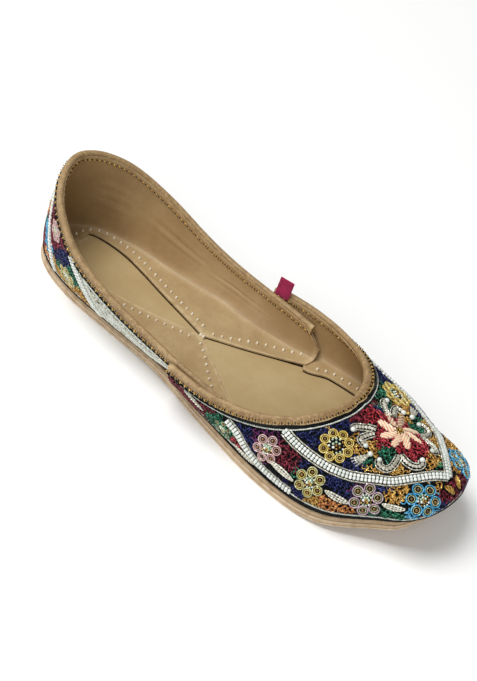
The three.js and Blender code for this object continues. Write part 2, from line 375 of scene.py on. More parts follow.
def loft(
    name: str, points: Array, dyes: Sequence[Enum], weld: bool = False, turn: bool = False
) -> bpy.types.Object:
    """A sheet through a grid of points.

    Args:
        name: the piece's name.
        points: millimetres, one row of points for each section.
        dyes: its finishes, of which the first covers it.
        weld: merges points that coincide, at seams and poles, and turns the faces outward.
        turn: turns the faces round.

    Returns:
        The piece, with one UV unit across each way.
    """
    sections, across = points.shape[:2]
    deselect()
    bpy.ops.mesh.primitive_grid_add(x_subdivisions=sections - 1, y_subdivisions=across - 1, size=1)
    piece = bpy.context.object
    piece.name = piece.data.name = name
    rows = points.transpose(1, 0, 2).reshape(-1, 3) * MM
    piece.data.vertices.foreach_set("co", rows.astype(np.float32).ravel())
    for choice in dyes:
        piece.data.materials.append(dye(choice))
    if weld:
        edit(
            piece,
            lambda: bpy.ops.mesh.remove_doubles(threshold=1e-5),
            lambda: bpy.ops.mesh.dissolve_degenerate(threshold=1e-6),
            lambda: bpy.ops.mesh.normals_make_consistent(inside=False),
        )
    if turn:
        edit(piece, bpy.ops.mesh.flip_normals)
    return piece


def repaint(piece: bpy.types.Object, chosen: Callable[[float], bool]) -> None:
    """Gives faces of a sheet its second finish.

    Args:
        piece: the sheet, just lofted.
        chosen: whether a face has it, from its place across the sheet, 0 to 1.
    """
    uv = piece.data.uv_layers[0].data
    for face in piece.data.polygons:
        if chosen(sum(uv[i].uv[1] for i in face.loop_indices) / len(face.loop_indices)):
            face.material_index = 1


def thicken(piece: bpy.types.Object, wall: float, **settings: Any) -> None:
    """Gives a sheet a wall in millimetres, on its inner side unless told otherwise."""
    apply(piece, "SOLIDIFY", thickness=wall * MM, **{"offset": -1, **settings})


def smooth(piece: bpy.types.Object, degrees: float) -> None:
    """Shades the piece smooth, but for edges sharper than the angle."""
    choose(piece)
    bpy.ops.object.shade_smooth_by_angle(angle=math.radians(degrees))


@dataclass
class Strand:
    """One cord of a piece: its centreline in millimetres, radius, and finish number."""

    line: Array
    radius: float | Array
    finish: int = 0


def cords(
    name: str, strands: Sequence[Strand], finishes: Sequence[bpy.types.Material], sides: int = 0
) -> bpy.types.Object:
    """Round cords along lines, joined in one mesh.

    Args:
        name: the piece's name.
        strands: the cords.
        finishes: the materials that strands number.
        sides: bevel resolution of a cord's section.

    Returns:
        The piece.
    """
    curve = bpy.data.curves.new(name, "CURVE")
    curve.dimensions = "3D"
    curve.bevel_depth = MM
    curve.bevel_resolution = sides
    curve.use_fill_caps = True
    for finish in finishes:
        curve.materials.append(finish)
    for strand in strands:
        line = np.asarray(strand.line, float)
        spline = curve.splines.new("POLY")
        spline.points.add(len(line) - 1)
        spline.points.foreach_set("co", np.c_[line * MM, np.ones(len(line))].ravel())
        spline.points.foreach_set("radius", np.broadcast_to(strand.radius, len(line)).astype(float))
        spline.material_index = strand.finish
    piece = bpy.data.objects.new(name, curve)
    bpy.context.scene.collection.objects.link(piece)
    choose(piece)
    bpy.ops.object.convert(target="MESH")
    piece = bpy.context.object
    edit(piece, lambda: bpy.ops.mesh.remove_doubles(threshold=2e-6))
    smooth(piece, 60)
    return piece


@dataclass
class Copy:
    """Where one copy of a small shape stands: millimetres, with its Z along `out`."""

    at: Array
    out: Array
    along: Array
    size: Sequence[float] | float = 1.0
    finish: int | None = None


def copies(
    name: str, shape: bpy.types.Object, places: Sequence[Copy],
    finishes: Sequence[bpy.types.Material], seed: int = 1,
) -> bpy.types.Object:
    """Copies of one small shape, joined in one mesh with a random `tint` for each.

    Args:
        name: the piece's name.
        shape: the small shape, in metres about the origin, which is left as it is.
        places: where the copies stand.
        finishes: the piece's materials.
        seed: start of the tints' random draws.

    Returns:
        The piece.
    """
    mesh = shape.data
    count, corners = len(mesh.vertices), len(mesh.loops)
    co, loops = np.empty(count * 3), np.empty(corners, int)
    starts, kinds = np.empty(len(mesh.polygons), int), np.empty(len(mesh.polygons), int)
    mesh.vertices.foreach_get("co", co)
    mesh.loops.foreach_get("vertex_index", loops)
    mesh.polygons.foreach_get("loop_start", starts)
    mesh.polygons.foreach_get("material_index", kinds)
    co = co.reshape(-1, 3)
    out = unit(np.array([p.out for p in places], float))
    along = np.array([p.along for p in places], float)
    along = unit(along - out * (along * out).sum(1, keepdims=True))
    axes = np.stack([along, np.cross(out, along), out], axis=1)
    size = np.array([np.broadcast_to(p.size, 3) for p in places], float)
    at = np.array([p.at for p in places], float) * MM
    sized = (co[None] * size[:, None]).transpose(0, 2, 1)
    points = np.einsum("nij,nik->njk", sized, axes) + at[:, None]
    n = len(places)
    new = bpy.data.meshes.new(name)
    new.vertices.add(n * count)
    new.vertices.foreach_set("co", points.astype(np.float32).ravel())
    new.loops.add(n * corners)
    step = np.arange(n)[:, None]
    new.loops.foreach_set("vertex_index", (loops[None] + step * count).ravel())
    new.polygons.add(n * len(starts))
    new.polygons.foreach_set("loop_start", (starts[None] + step * corners).ravel())
    kinds = np.array([kinds if p.finish is None else np.full(len(kinds), p.finish) for p in places])
    for finish in finishes:
        new.materials.append(finish)
    new.polygons.foreach_set("material_index", kinds.ravel())
    new.polygons.foreach_set("use_smooth", np.ones(n * len(starts), bool))
    tint = np.repeat(np.random.default_rng(seed).random(n), count)
    new.attributes.new("tint", "FLOAT", "POINT").data.foreach_set("value", tint.astype(np.float32))
    new.update(calc_edges=True)
    new.validate()
    piece = bpy.data.objects.new(name, new)
    bpy.context.scene.collection.objects.link(piece)
    return piece


def twisted(line: Array, out: Array, radius: float, pitch: float, finish: int) -> list[Strand]:
    """The two plies of a twisted cord.

    Args:
        line: the cord's centreline.
        out: outward direction at each point of it.
        radius: of the whole cord.
        pitch: length of one turn.
        finish: finish number of both plies.

    Returns:
        One strand for each ply.
    """
    both = resampled(np.concatenate([line, out], axis=1), pitch / 5)
    line, out = both[:, :3], unit(both[:, 3:])
    along = unit(np.gradient(line, axis=0))
    side = np.cross(along, out)
    run = lengths(line)
    strands = []
    for phase in (0.0, 0.5):
        turn = 2 * math.pi * (run / pitch + phase)
        offset = out * np.cos(turn)[:, None] + side * np.sin(turn)[:, None]
        strands.append(Strand(line + 0.5 * radius * offset, 0.56 * radius, finish))
    return strands


class Shapes:
    """Small shapes that are made once and copied."""

    def __init__(self) -> None:
        """Starts with none made."""
        self.made: dict[str, bpy.types.Object] = {}

    def keep(self, name: str, scale: Sequence[float] = (1, 1, 1)) -> bpy.types.Object:
        """Applies the new primitive's size and keeps it under a name."""
        shape = bpy.context.object
        shape.scale = scale
        bpy.ops.object.transform_apply(location=True, rotation=True, scale=True)
        shape.name = f"shape_{name}"
        self.made[name] = shape
        return shape

    def bead(self) -> bpy.types.Object:
        """A round bead of 1 mm radius."""
        if "bead" not in self.made:
            deselect()
            bpy.ops.mesh.primitive_uv_sphere_add(segments=9, ring_count=6, radius=MM)
            self.keep("bead")
        return self.made["bead"]

    def pearl(self) -> bpy.types.Object:
        """A cube-cut pearl bead, 1 mm from middle to side, with its corners rounded off."""
        if "pearl" not in self.made:
            deselect()
            bpy.ops.mesh.primitive_cube_add(size=2 * MM)
            shape = self.keep("pearl")
            apply(shape, "BEVEL", width=0.55 * MM, segments=2, limit_method="NONE")
        return self.made["pearl"]

    def ring(self) -> bpy.types.Object:
        """A ring of wire, 1 mm from its middle to the wire's."""
        if "ring" not in self.made:
            deselect()
            bpy.ops.mesh.primitive_torus_add(
                major_segments=14, minor_segments=6, major_radius=MM, minor_radius=0.155 * MM
            )
            self.keep("ring")
        return self.made["ring"]

    def stitch(self) -> bpy.types.Object:
        """One hand stitch, a fat thread 2 mm long whose ends dive into the leather."""
        return self.thread("stitch", 10, 8)

    def dash(self) -> bpy.types.Object:
        """One machine stitch, the same shape with fewer faces."""
        return self.thread("dash", 6, 6)

    def thread(self, name: str, segments: int, rings: int) -> bpy.types.Object:
        """A short length of thread.

        Args:
            name: what it is kept as.
            segments: faces round it.
            rings: faces along it.

        Returns:
            The shape.
        """
        if name not in self.made:
            deselect()
            bpy.ops.mesh.primitive_uv_sphere_add(
                segments=segments, ring_count=rings, radius=MM, rotation=(0, math.pi / 2, 0)
            )
            shape = self.keep(name, (1, 0.42, 0.42))
            for vertex in shape.data.vertices:
                vertex.co.z -= 0.35 * MM * (vertex.co.x / MM) ** 2
        return self.made[name]

    def clear(self) -> None:
        """Removes the shapes once everything is copied."""
        for shape in self.made.values():
            bpy.data.objects.remove(shape)
        self.made = {}


SHAPES = Shapes()


# ---- Finishes -------------------------------------------------------------------------------------


def srgb(code: str) -> tuple[float, float, float, float]:
    """A hex colour as the linear one that shaders take."""
    parts = [int(code[i : i + 2], 16) / 255 for i in (1, 3, 5)]
    linear = [c / 12.92 if c <= 0.04045 else ((c + 0.055) / 1.055) ** 2.4 for c in parts]
    return (linear[0], linear[1], linear[2], 1.0)


class Graph:
    """Adds nodes to one tree, with their values and links."""

    def __init__(self, tree: bpy.types.NodeTree) -> None:
        """Keeps the tree."""
        self.tree = tree

    def feed(self, node: bpy.types.Node, values: dict[str | int, Any]) -> None:
        """Sets a node's input sockets.

        Args:
            node: the node.
            values: for each input, a constant or a socket to link.
        """
        for key, value in values.items():
            if isinstance(value, bpy.types.NodeSocket):
                self.tree.links.new(value, node.inputs[key])
            else:
                node.inputs[key].default_value = value

    def node(
        self, kind: str, values: dict[str | int, Any] | None = None, **settings: Any
    ) -> bpy.types.Node:
        """Adds one node.

        Args:
            kind: the node's type, with or without its ShaderNode prefix.
            values: for input sockets, each a constant or a socket to link.
            settings: the node's own settings.

        Returns:
            The node.
        """
        made = self.tree.nodes.new(kind if kind.startswith("NodeGroup") else f"ShaderNode{kind}")
        for name, value in settings.items():
            setattr(made, name, value)
        self.feed(made, values or {})
        return made

    def maths(self, operation: str, *values: Any) -> bpy.types.NodeSocket:
        """The result of one Math node."""
        return self.node("Math", dict(enumerate(values)), operation=operation).outputs[0]

    def mix(self, share: Any, first: Any, second: Any) -> bpy.types.NodeSocket:
        """A colour between two."""
        return self.node("Mix", {0: share, 6: first, 7: second}, data_type="RGBA").outputs[2]

    def noise(
        self, place: Any, scale: Any, detail: float, rough: float = 0.5
    ) -> bpy.types.NodeSocket:
        """Fractal noise at a place."""
        values = {"Vector": place, "Scale": scale, "Detail": detail, "Roughness": rough}
        return self.node("TexNoise", values).outputs[0]

    def bump(self, strength: float, distance: Any, height: Any) -> bpy.types.NodeSocket:
        """The normal that a height gives."""
        values = {"Strength": strength, "Distance": distance, "Height": height}
        return self.node("Bump", values).outputs[0]

    def per_metre(self, millimetres: Any) -> bpy.types.NodeSocket:
        """The texture scale whose cells have the given size."""
        return self.maths("DIVIDE", 1.0, self.maths("MULTIPLY", millimetres, MM))

    def spread(self, value: Any, low: float, high: float) -> bpy.types.NodeSocket:
        """The value's stretch from low to high as 0 to 1, smooth at both ends."""
        limits = {0: value, 1: low, 2: high, 3: 0.0, 4: 1.0}
        return self.node("MapRange", limits, interpolation_type="SMOOTHSTEP").outputs[0]


class Effect(Enum):
    """Effects that several finishes share, each a node group."""

    GRAIN = "grain"
    MOTTLE = "mottle"
    WEAR = "wear"
    GLINT = "glint"


def group(effect: Effect) -> bpy.types.NodeTree:
    """The effect's node group, made the first time it is asked for."""
    if effect.value in bpy.data.node_groups:
        return bpy.data.node_groups[effect.value]
    tree = bpy.data.node_groups.new(effect.value, "ShaderNodeTree")
    g = Graph(tree)
    numbers, colours, results = {
        Effect.GRAIN: ("Cell Depth Pores", "", "Normal Pits"),
        Effect.MOTTLE: ("Patch Amount", "Colour Other", "Colour"),
        Effect.WEAR: ("Amount", "Colour Worn", "Colour"),
        Effect.GLINT: ("Cell Amount", "Colour Light", "Colour Roughness Normal"),
    }[effect]
    kinds = {"Normal": "Vector", "Colour": "Color"}
    sockets = [("INPUT", name, "Float") for name in numbers.split()]
    sockets += [("INPUT", name, "Color") for name in colours.split()]
    sockets += [("OUTPUT", name, kinds.get(name, "Float")) for name in results.split()]
    for way, name, kind in sockets:
        tree.interface.new_socket(name=name, in_out=way, socket_type=f"NodeSocket{kind}")
    given = g.node("NodeGroupInput").outputs
    place = g.node("TexCoord").outputs["Object"]
    out: dict[str | int, Any] = {}
    if effect is Effect.GRAIN:
        scale = g.per_metre(given["Cell"])
        cells = g.node("TexVoronoi", {"Vector": place, "Scale": scale}, feature="SMOOTH_F1")
        fine = g.noise(place, g.maths("MULTIPLY", scale, 2.3), 3.0)
        pores = g.maths("MULTIPLY", fine, given["Pores"])
        height = g.maths("ADD", cells.outputs["Distance"], pores)
        out["Normal"] = g.bump(1.0, g.maths("MULTIPLY", given["Depth"], MM), height)
        out["Pits"] = g.spread(height, 0.55, 1.1)
    elif effect is Effect.MOTTLE:
        broad = g.noise(place, g.per_metre(given["Patch"]), 5.0, 0.62)
        share = g.maths("MULTIPLY", g.spread(broad, 0.3, 0.72), given["Amount"])
        out["Colour"] = g.mix(share, given["Colour"], given["Other"])
    elif effect is Effect.WEAR:
        edges = g.spread(g.node("NewGeometry").outputs["Pointiness"], 0.502, 0.56)
        rubbed = g.spread(g.noise(place, 260.0, 4.0), 0.25, 0.6)
        share = g.maths("MULTIPLY", g.maths("MULTIPLY", edges, rubbed), given["Amount"])
        out["Colour"] = g.mix(share, given["Colour"], given["Worn"])
    else:
        cells = g.node("TexVoronoi", {"Vector": place, "Scale": g.per_metre(given["Cell"])})
        spark = g.node("SeparateColor", {0: cells.outputs["Color"]}).outputs[0]
        # Painted highlights: random small cells of the colour are mixed towards the light colour; the
        # same cells are also made smoother and bumped.
        share = g.maths("MULTIPLY", g.maths("POWER", spark, 3.0), given["Amount"])
        out["Colour"] = g.mix(share, given["Colour"], given["Light"])
        out["Roughness"] = g.maths("SUBTRACT", 0.48, g.maths("MULTIPLY", spark, 0.22))
        out["Normal"] = g.bump(0.6, 0.12 * MM, cells.outputs["Distance"])
    g.node("NodeGroupOutput", out)
    return tree


def material(name: str) -> tuple[bpy.types.Material, Graph, bpy.types.Node]:
    """A new material with its graph and its Principled BSDF."""
    made = bpy.data.materials.new(name)
    made.use_nodes = True
    shader = next(n for n in made.node_tree.nodes if n.type == "BSDF_PRINCIPLED")
    return made, Graph(made.node_tree), shader


def effect(g: Graph, kind: Effect, **values: Any) -> Any:
    """An effect's group placed in a material.

    Args:
        g: the material's graph.
        kind: which effect.
        values: for the group's inputs; a colour may be a hex code.

    Returns:
        The group's outputs.
    """
    given = {key: srgb(value) if isinstance(value, str) else value for key, value in values.items()}
    return g.node("Group", given, node_tree=group(kind)).outputs


@dataclass(frozen=True)
class Leather:
    """A leather: its colour, the other colour that it mottles to, grain and polish."""

    name: str
    colour: str
    other: str
    worn: str
    patch: float = 14.0
    cell: float = 0.7
    depth: float = 0.05
    pores: float = 0.5
    roughness: float = 0.55
    coat: float = 0.0
    pit_shade: float = 0.25

    def make(self) -> bpy.types.Material:
        """The material."""
        made, g, shader = material(self.name)
        grain = effect(g, Effect.GRAIN, Cell=self.cell, Depth=self.depth, Pores=self.pores)
        hide = effect(
            g, Effect.MOTTLE, Patch=self.patch, Amount=0.75, Colour=self.colour, Other=self.other
        )["Colour"]
        fine = effect(g, Effect.MOTTLE, Patch=1.6, Amount=0.16, Colour=hide, Other=self.other)["Colour"]
        pits = g.maths("MULTIPLY", grain["Pits"], self.pit_shade)
        pitted = g.mix(pits, fine, srgb(self.other))
        polish = g.noise(g.node("TexCoord").outputs["Object"], 90.0, 3.0)
        rough = g.maths("ADD", self.roughness - 0.08, g.maths("MULTIPLY", polish, 0.16))
        g.feed(shader, {
            "Base Color": effect(g, Effect.WEAR, Amount=0.8, Colour=pitted, Worn=self.worn)["Colour"],
            "Roughness": rough, "Normal": grain["Normal"],
            "Coat Weight": self.coat, "Coat Roughness": 0.35, "Specular IOR Level": 0.35,
        })
        return made


@dataclass(frozen=True)
class Cloth:
    """A woven cloth: its colour, the other colour in it and the pitch of its yarns."""

    name: str
    colour: str
    other: str
    yarn: float = 0.45
    depth: float = 0.08
    sheen: float = 0.2

    def make(self) -> bpy.types.Material:
        """The material."""
        made, g, shader = material(self.name)
        place = g.node("TexCoord").outputs["Object"]
        scale = 2 * math.pi / (20 * self.yarn * MM)
        yarns = {"Vector": place, "Scale": scale, "Distortion": 0.6}
        waves = [g.node("TexWave", yarns, bands_direction=way).outputs["Fac"] for way in "XY"]
        weave = g.maths("MAXIMUM", *waves)
        cloth = effect(
            g, Effect.MOTTLE, Patch=3.0, Amount=1.0, Colour=self.colour, Other=self.other
        )["Colour"]
        shaded = g.mix(g.maths("MULTIPLY", weave, 0.35), g.mix(0.45, cloth, (0, 0, 0, 1)), cloth)
        g.feed(shader, {
            "Base Color": shaded, "Normal": g.bump(1.0, self.depth * MM, weave),
            "Roughness": 0.8, "Sheen Weight": self.sheen, "Specular IOR Level": 0.1,
        })
        return made


@dataclass(frozen=True)
class Wire:
    """Metal-wrapped thread or coiled wire, which glitters along its length: painted highlights in its
    colour, towards its light colour, on smoother and bumped spots.
    """

    name: str
    colour: str
    light: str
    metal: float = 0.55
    cell: float = 0.55
    amount: float = 0.8
    specular: float = 0.5

    def make(self) -> bpy.types.Material:
        """The material."""
        made, g, shader = material(self.name)
        glint = effect(
            g, Effect.GLINT, Cell=self.cell, Amount=self.amount, Colour=self.colour, Light=self.light
        )
        g.feed(shader, {
            "Base Color": glint["Colour"], "Roughness": glint["Roughness"], "Normal": glint["Normal"],
            "Metallic": self.metal, "Specular IOR Level": self.specular,
        })
        return made


@dataclass(frozen=True)
class Bead:
    """Glass, pearl or metal beads that differ a little from one to the next."""

    name: str
    colour: str
    other: str
    metal: float = 0.0
    roughness: float = 0.2
    coat: float = 0.6

    def make(self) -> bpy.types.Material:
        """The material."""
        made, g, shader = material(self.name)
        tint = g.node("Attribute", attribute_name="tint").outputs["Fac"]
        each = g.mix(tint, srgb(self.colour), srgb(self.other))
        dulled = effect(g, Effect.MOTTLE, Patch=0.8, Amount=0.3, Colour=each, Other=self.other)
        g.feed(shader, {
            "Base Color": dulled["Colour"], "Metallic": self.metal, "Roughness": self.roughness,
            "Coat Weight": self.coat, "Coat Roughness": 0.08,
        })
        return made


class Hide(Enum):
    """The shoe's leathers."""

    SOLE = Leather("sole_leather", "#c4aa88", "#9a7d5c", "#d6c5ab", 9, 0.9, 0.06, roughness=0.7)
    SOLE_CORE = Leather("core_leather_and_gap_shade", "#7d6248", "#5f4733", "#8d7356", 7, 0.8, 0.08, roughness=0.8)
    MIDSOLE = Leather("midsole_leather", "#a98e6d", "#86694c", "#bda685", 8, 0.8, 0.06, roughness=0.7)
    SOCK = Leather(
        "sock_leather", "#b8a176", "#a88f62", "#c4af86", 26, 0.55, 0.02,
        roughness=0.42, coat=0.08, pit_shade=0.1,
    )
    LINING = Leather(
        "lining_leather", "#a88c63", "#8f7049", "#b9a078", 22, 0.6, 0.03,
        roughness=0.46, coat=0.05, pit_shade=0.15,
    )
    MARGIN = Leather(
        "margin_leather", "#b39a70", "#9c8058", "#c4ae86", 12, 0.9, 0.06, roughness=0.5, pit_shade=0.35
    )
    BINDING = Leather(
        "binding_leather", "#b09368", "#7a5d3a", "#bfa578", 5, 1.25, 0.1,
        pores=0.9, roughness=0.5, pit_shade=0.75,
    )


class Numbered(Enum):
    """Finishes that a piece has all of, each under its own number."""

    @property
    def number(self) -> int:
        """Its place among them."""
        return list(type(self)).index(self)


class Thread(Numbered):
    """The embroidery's wires and threads."""

    GOLD = Wire("gold_wire", "#96641c", "#ffdc80", metal=0.4, amount=1.0)
    ORANGE = Wire("copper_wire", "#96501c", "#ffbe74", metal=0.35, amount=1.0)
    CRIMSON = Wire("crimson_wire", "#620614", "#e85a64", metal=0.2, amount=1.0, specular=0.25)
    WINE = Wire("wine_wire", "#3c0610", "#b04458", metal=0.2, amount=1.0, specular=0.2)
    NAVY = Wire("navy_wire", "#060824", "#3e4890", metal=0.2, amount=1.0, specular=0.2)
    PURPLE = Wire("purple_wire", "#2c0828", "#8c4080", metal=0.2, amount=1.0, specular=0.2)
    GREEN = Wire("green_wire", "#042a1c", "#4cb088", metal=0.2, amount=1.0, specular=0.25)
    TEAL = Wire("teal_wire", "#2380ae", "#a4ecfa", metal=0.2)
    MAUVE = Wire("mauve_wire", "#9c848e", "#f3e4ea", metal=0.25)
    PINK = Wire("pink_wire", "#bd9490", "#fff0ea", metal=0.25)
    YELLOW = Wire("yellow_wire", "#c8a83c", "#fff8ba", metal=0.2, amount=1.0)
    OLIVE = Wire("olive_wire", "#98945c", "#f6f6d0", metal=0.3, amount=1.0)
    SILVER = Wire("silver_wire", "#b4b1a0", "#fffdf0", metal=0.45, amount=1.0)
    WHITE = Wire("white_cord", "#d2d8ca", "#ffffff", metal=0.05, amount=0.8)
    CREAM = Wire("cream_satin", "#e9d3b0", "#fff8e6", metal=0.1, cell=0.9, amount=0.6)
    ROSE = Wire("rose_satin", "#d99c84", "#f4cab4", metal=0.1, cell=0.9, amount=0.6)
    BLACK = Wire("black_cord_and_hole_shade", "#08090a", "#1c2021", metal=0.0, amount=0.5, specular=0.12)


class Beading(Numbered):
    """The embroidery's beads."""

    PEARL = Bead("pearl_beads", "#eef0ea", "#ccd3ca", roughness=0.25, coat=0.4)
    CLEAR = Bead("clear_beads", "#dfe6d6", "#8fae8c", metal=0.25, roughness=0.12, coat=0.8)
    GOLD = Bead("gold_beads", "#d9b45c", "#8a6420", metal=0.85, roughness=0.25)
    BRONZE = Bead("bronze_beads", "#9a7440", "#4c3314", metal=0.7, roughness=0.28)
    LINEN = Bead("linen_thread", "#f2e9d6", "#e0d3b8", roughness=0.5, coat=0.0)


_made: dict[Enum, bpy.types.Material] = {}


def dye(choice: Enum) -> bpy.types.Material:
    """The material of a named finish, made the first time it is asked for."""
    if choice not in _made:
        _made[choice] = choice.value.make()
    return _made[choice]


def finish_piece(piece: bpy.types.Object, slot: str, *nodes: str, angle: float = 0.0) -> None:
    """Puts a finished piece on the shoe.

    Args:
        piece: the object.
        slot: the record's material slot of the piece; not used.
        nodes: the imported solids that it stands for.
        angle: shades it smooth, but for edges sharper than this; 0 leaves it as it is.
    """
    if angle:
        smooth(piece, angle)
    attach(piece, BODY)
    if nodes:
        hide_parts(*nodes)
    triangles = sum(len(p.vertices) - 2 for p in piece.data.polygons)
    log.info("%s: %d triangles", piece.name, triangles)


# ---- Sole -----------------------------------------------------------------------------------------


@dataclass
class Sole:
    """The stacked leather sole: outsole, midsole and the insole that the upper is sewn to."""

    beyond: float = 1.6
    around: int = 240
    groove: float = 0.28
    spine: tuple[float, float] = (-98.0, 92.0)

    def edge(self, u: Array, offset: Array | float) -> Array:
        """The sole's outline, u once round from the heel, moved out by an offset."""
        t = np.where(u < 1, u, u - 2)
        side = np.where(t < 0, -1, 1)
        p = LAST.foot(np.abs(t))
        tip = 2.4 * ramp(p[..., 0], 108, 119)
        p = p + LAST.outward(np.abs(t)) * (offset - tip)[..., None]
        p[..., 1] *= side
        return p

    def slab(
        self, name: str, hide: Hide, profile: Sequence[Sequence[float]],
        base: Callable[[Array], Array], depth: Callable[[Array], Array | float],
    ) -> bpy.types.Object:
        """A closed plate of one outline.

        Args:
            name: the piece's name.
            hide: its leather.
            profile: from under the middle to above it: share of the way out, offset, share of depth.
            base: height of its underside at x.
            depth: its thickness at x.

        Returns:
            The piece.
        """
        u = np.linspace(0, 2, self.around + 1)
        rows = []
        for share, offset, up in profile:
            p = self.edge(u, np.full_like(u, offset))
            spine = xyz(np.clip(p[:, 0], *self.spine), 0, 0)
            p = spine + (p - spine) * share
            p[:, 2] = base(p[:, 0]) + depth(p[:, 0]) * up
            rows.append(p)
        return loft(name, np.stack(rows, axis=1), [hide], weld=True)

    @staticmethod
    def profile(
        rim: float, edge: Sequence[tuple[float, float]], top: float
    ) -> list[tuple[float, ...]]:
        """A plate's section, flat below and above.

        Args:
            rim: the edge's greatest offset.
            edge: up the edge: how far in from the rim, share of depth.
            top: how far in from the rim the upper face's offset is.

        Returns:
            Share of the way out, offset and share of depth of each corner.
        """
        flat = (0.0, 0.3, 0.6, 0.85, 0.97)
        low = [(share, rim - 0.5, 0.0) for share in flat]
        side = [(1, rim - inset, up) for inset, up in edge]
        return low + side + [(share, rim - top, 1.0) for share in reversed(flat)]

    def build(self) -> None:
        """Makes the three plates."""
        grooved = (
            (0.35, 0.02), (0.05, 0.1), (0, 0.2), (0, 0.36), (self.groove, 0.4), (self.groove, 0.43),
            (0.05, 0.47), (0, 0.6), (0, 0.8), (0.08, 0.92), (0.4, 1.0),
        )
        profile = self.profile(self.beyond, grooved, 0.5)
        plate = self.slab("outsole_leather", Hide.SOLE, profile, LAST.ground, lambda x: LAST.outsole)
        finish_piece(plate, "sole_leather", "outsole", angle=50)

        rounded_edge = ((0.5, 0.03), (0.05, 0.2), (0, 0.5), (0.1, 0.8), (0.6, 1.0))
        plate = self.slab(
            "midsole_leather", Hide.MIDSOLE, self.profile(self.beyond - 0.35, rounded_edge, 0.8),
            lambda x: LAST.ground(x) + LAST.outsole,
            lambda x: LAST.feather(x) - LAST.ground(x) - LAST.outsole,
        )
        finish_piece(plate, "midsole_leather", "midsole", angle=50)

        ways = (0, 0.5, 0.9, 1)
        profile = [(s, -3.4, 0.0) for s in ways] + [(s, -3.4, 1.0) for s in reversed(ways)]
        plate = self.slab("insole_board", Hide.SOLE_CORE, profile, LAST.feather, lambda x: LAST.insole)
        finish_piece(plate, "insole_leather", "insole", angle=50)


# ---- Inside: socks, linings and their hand stitches -------------------------------------------------


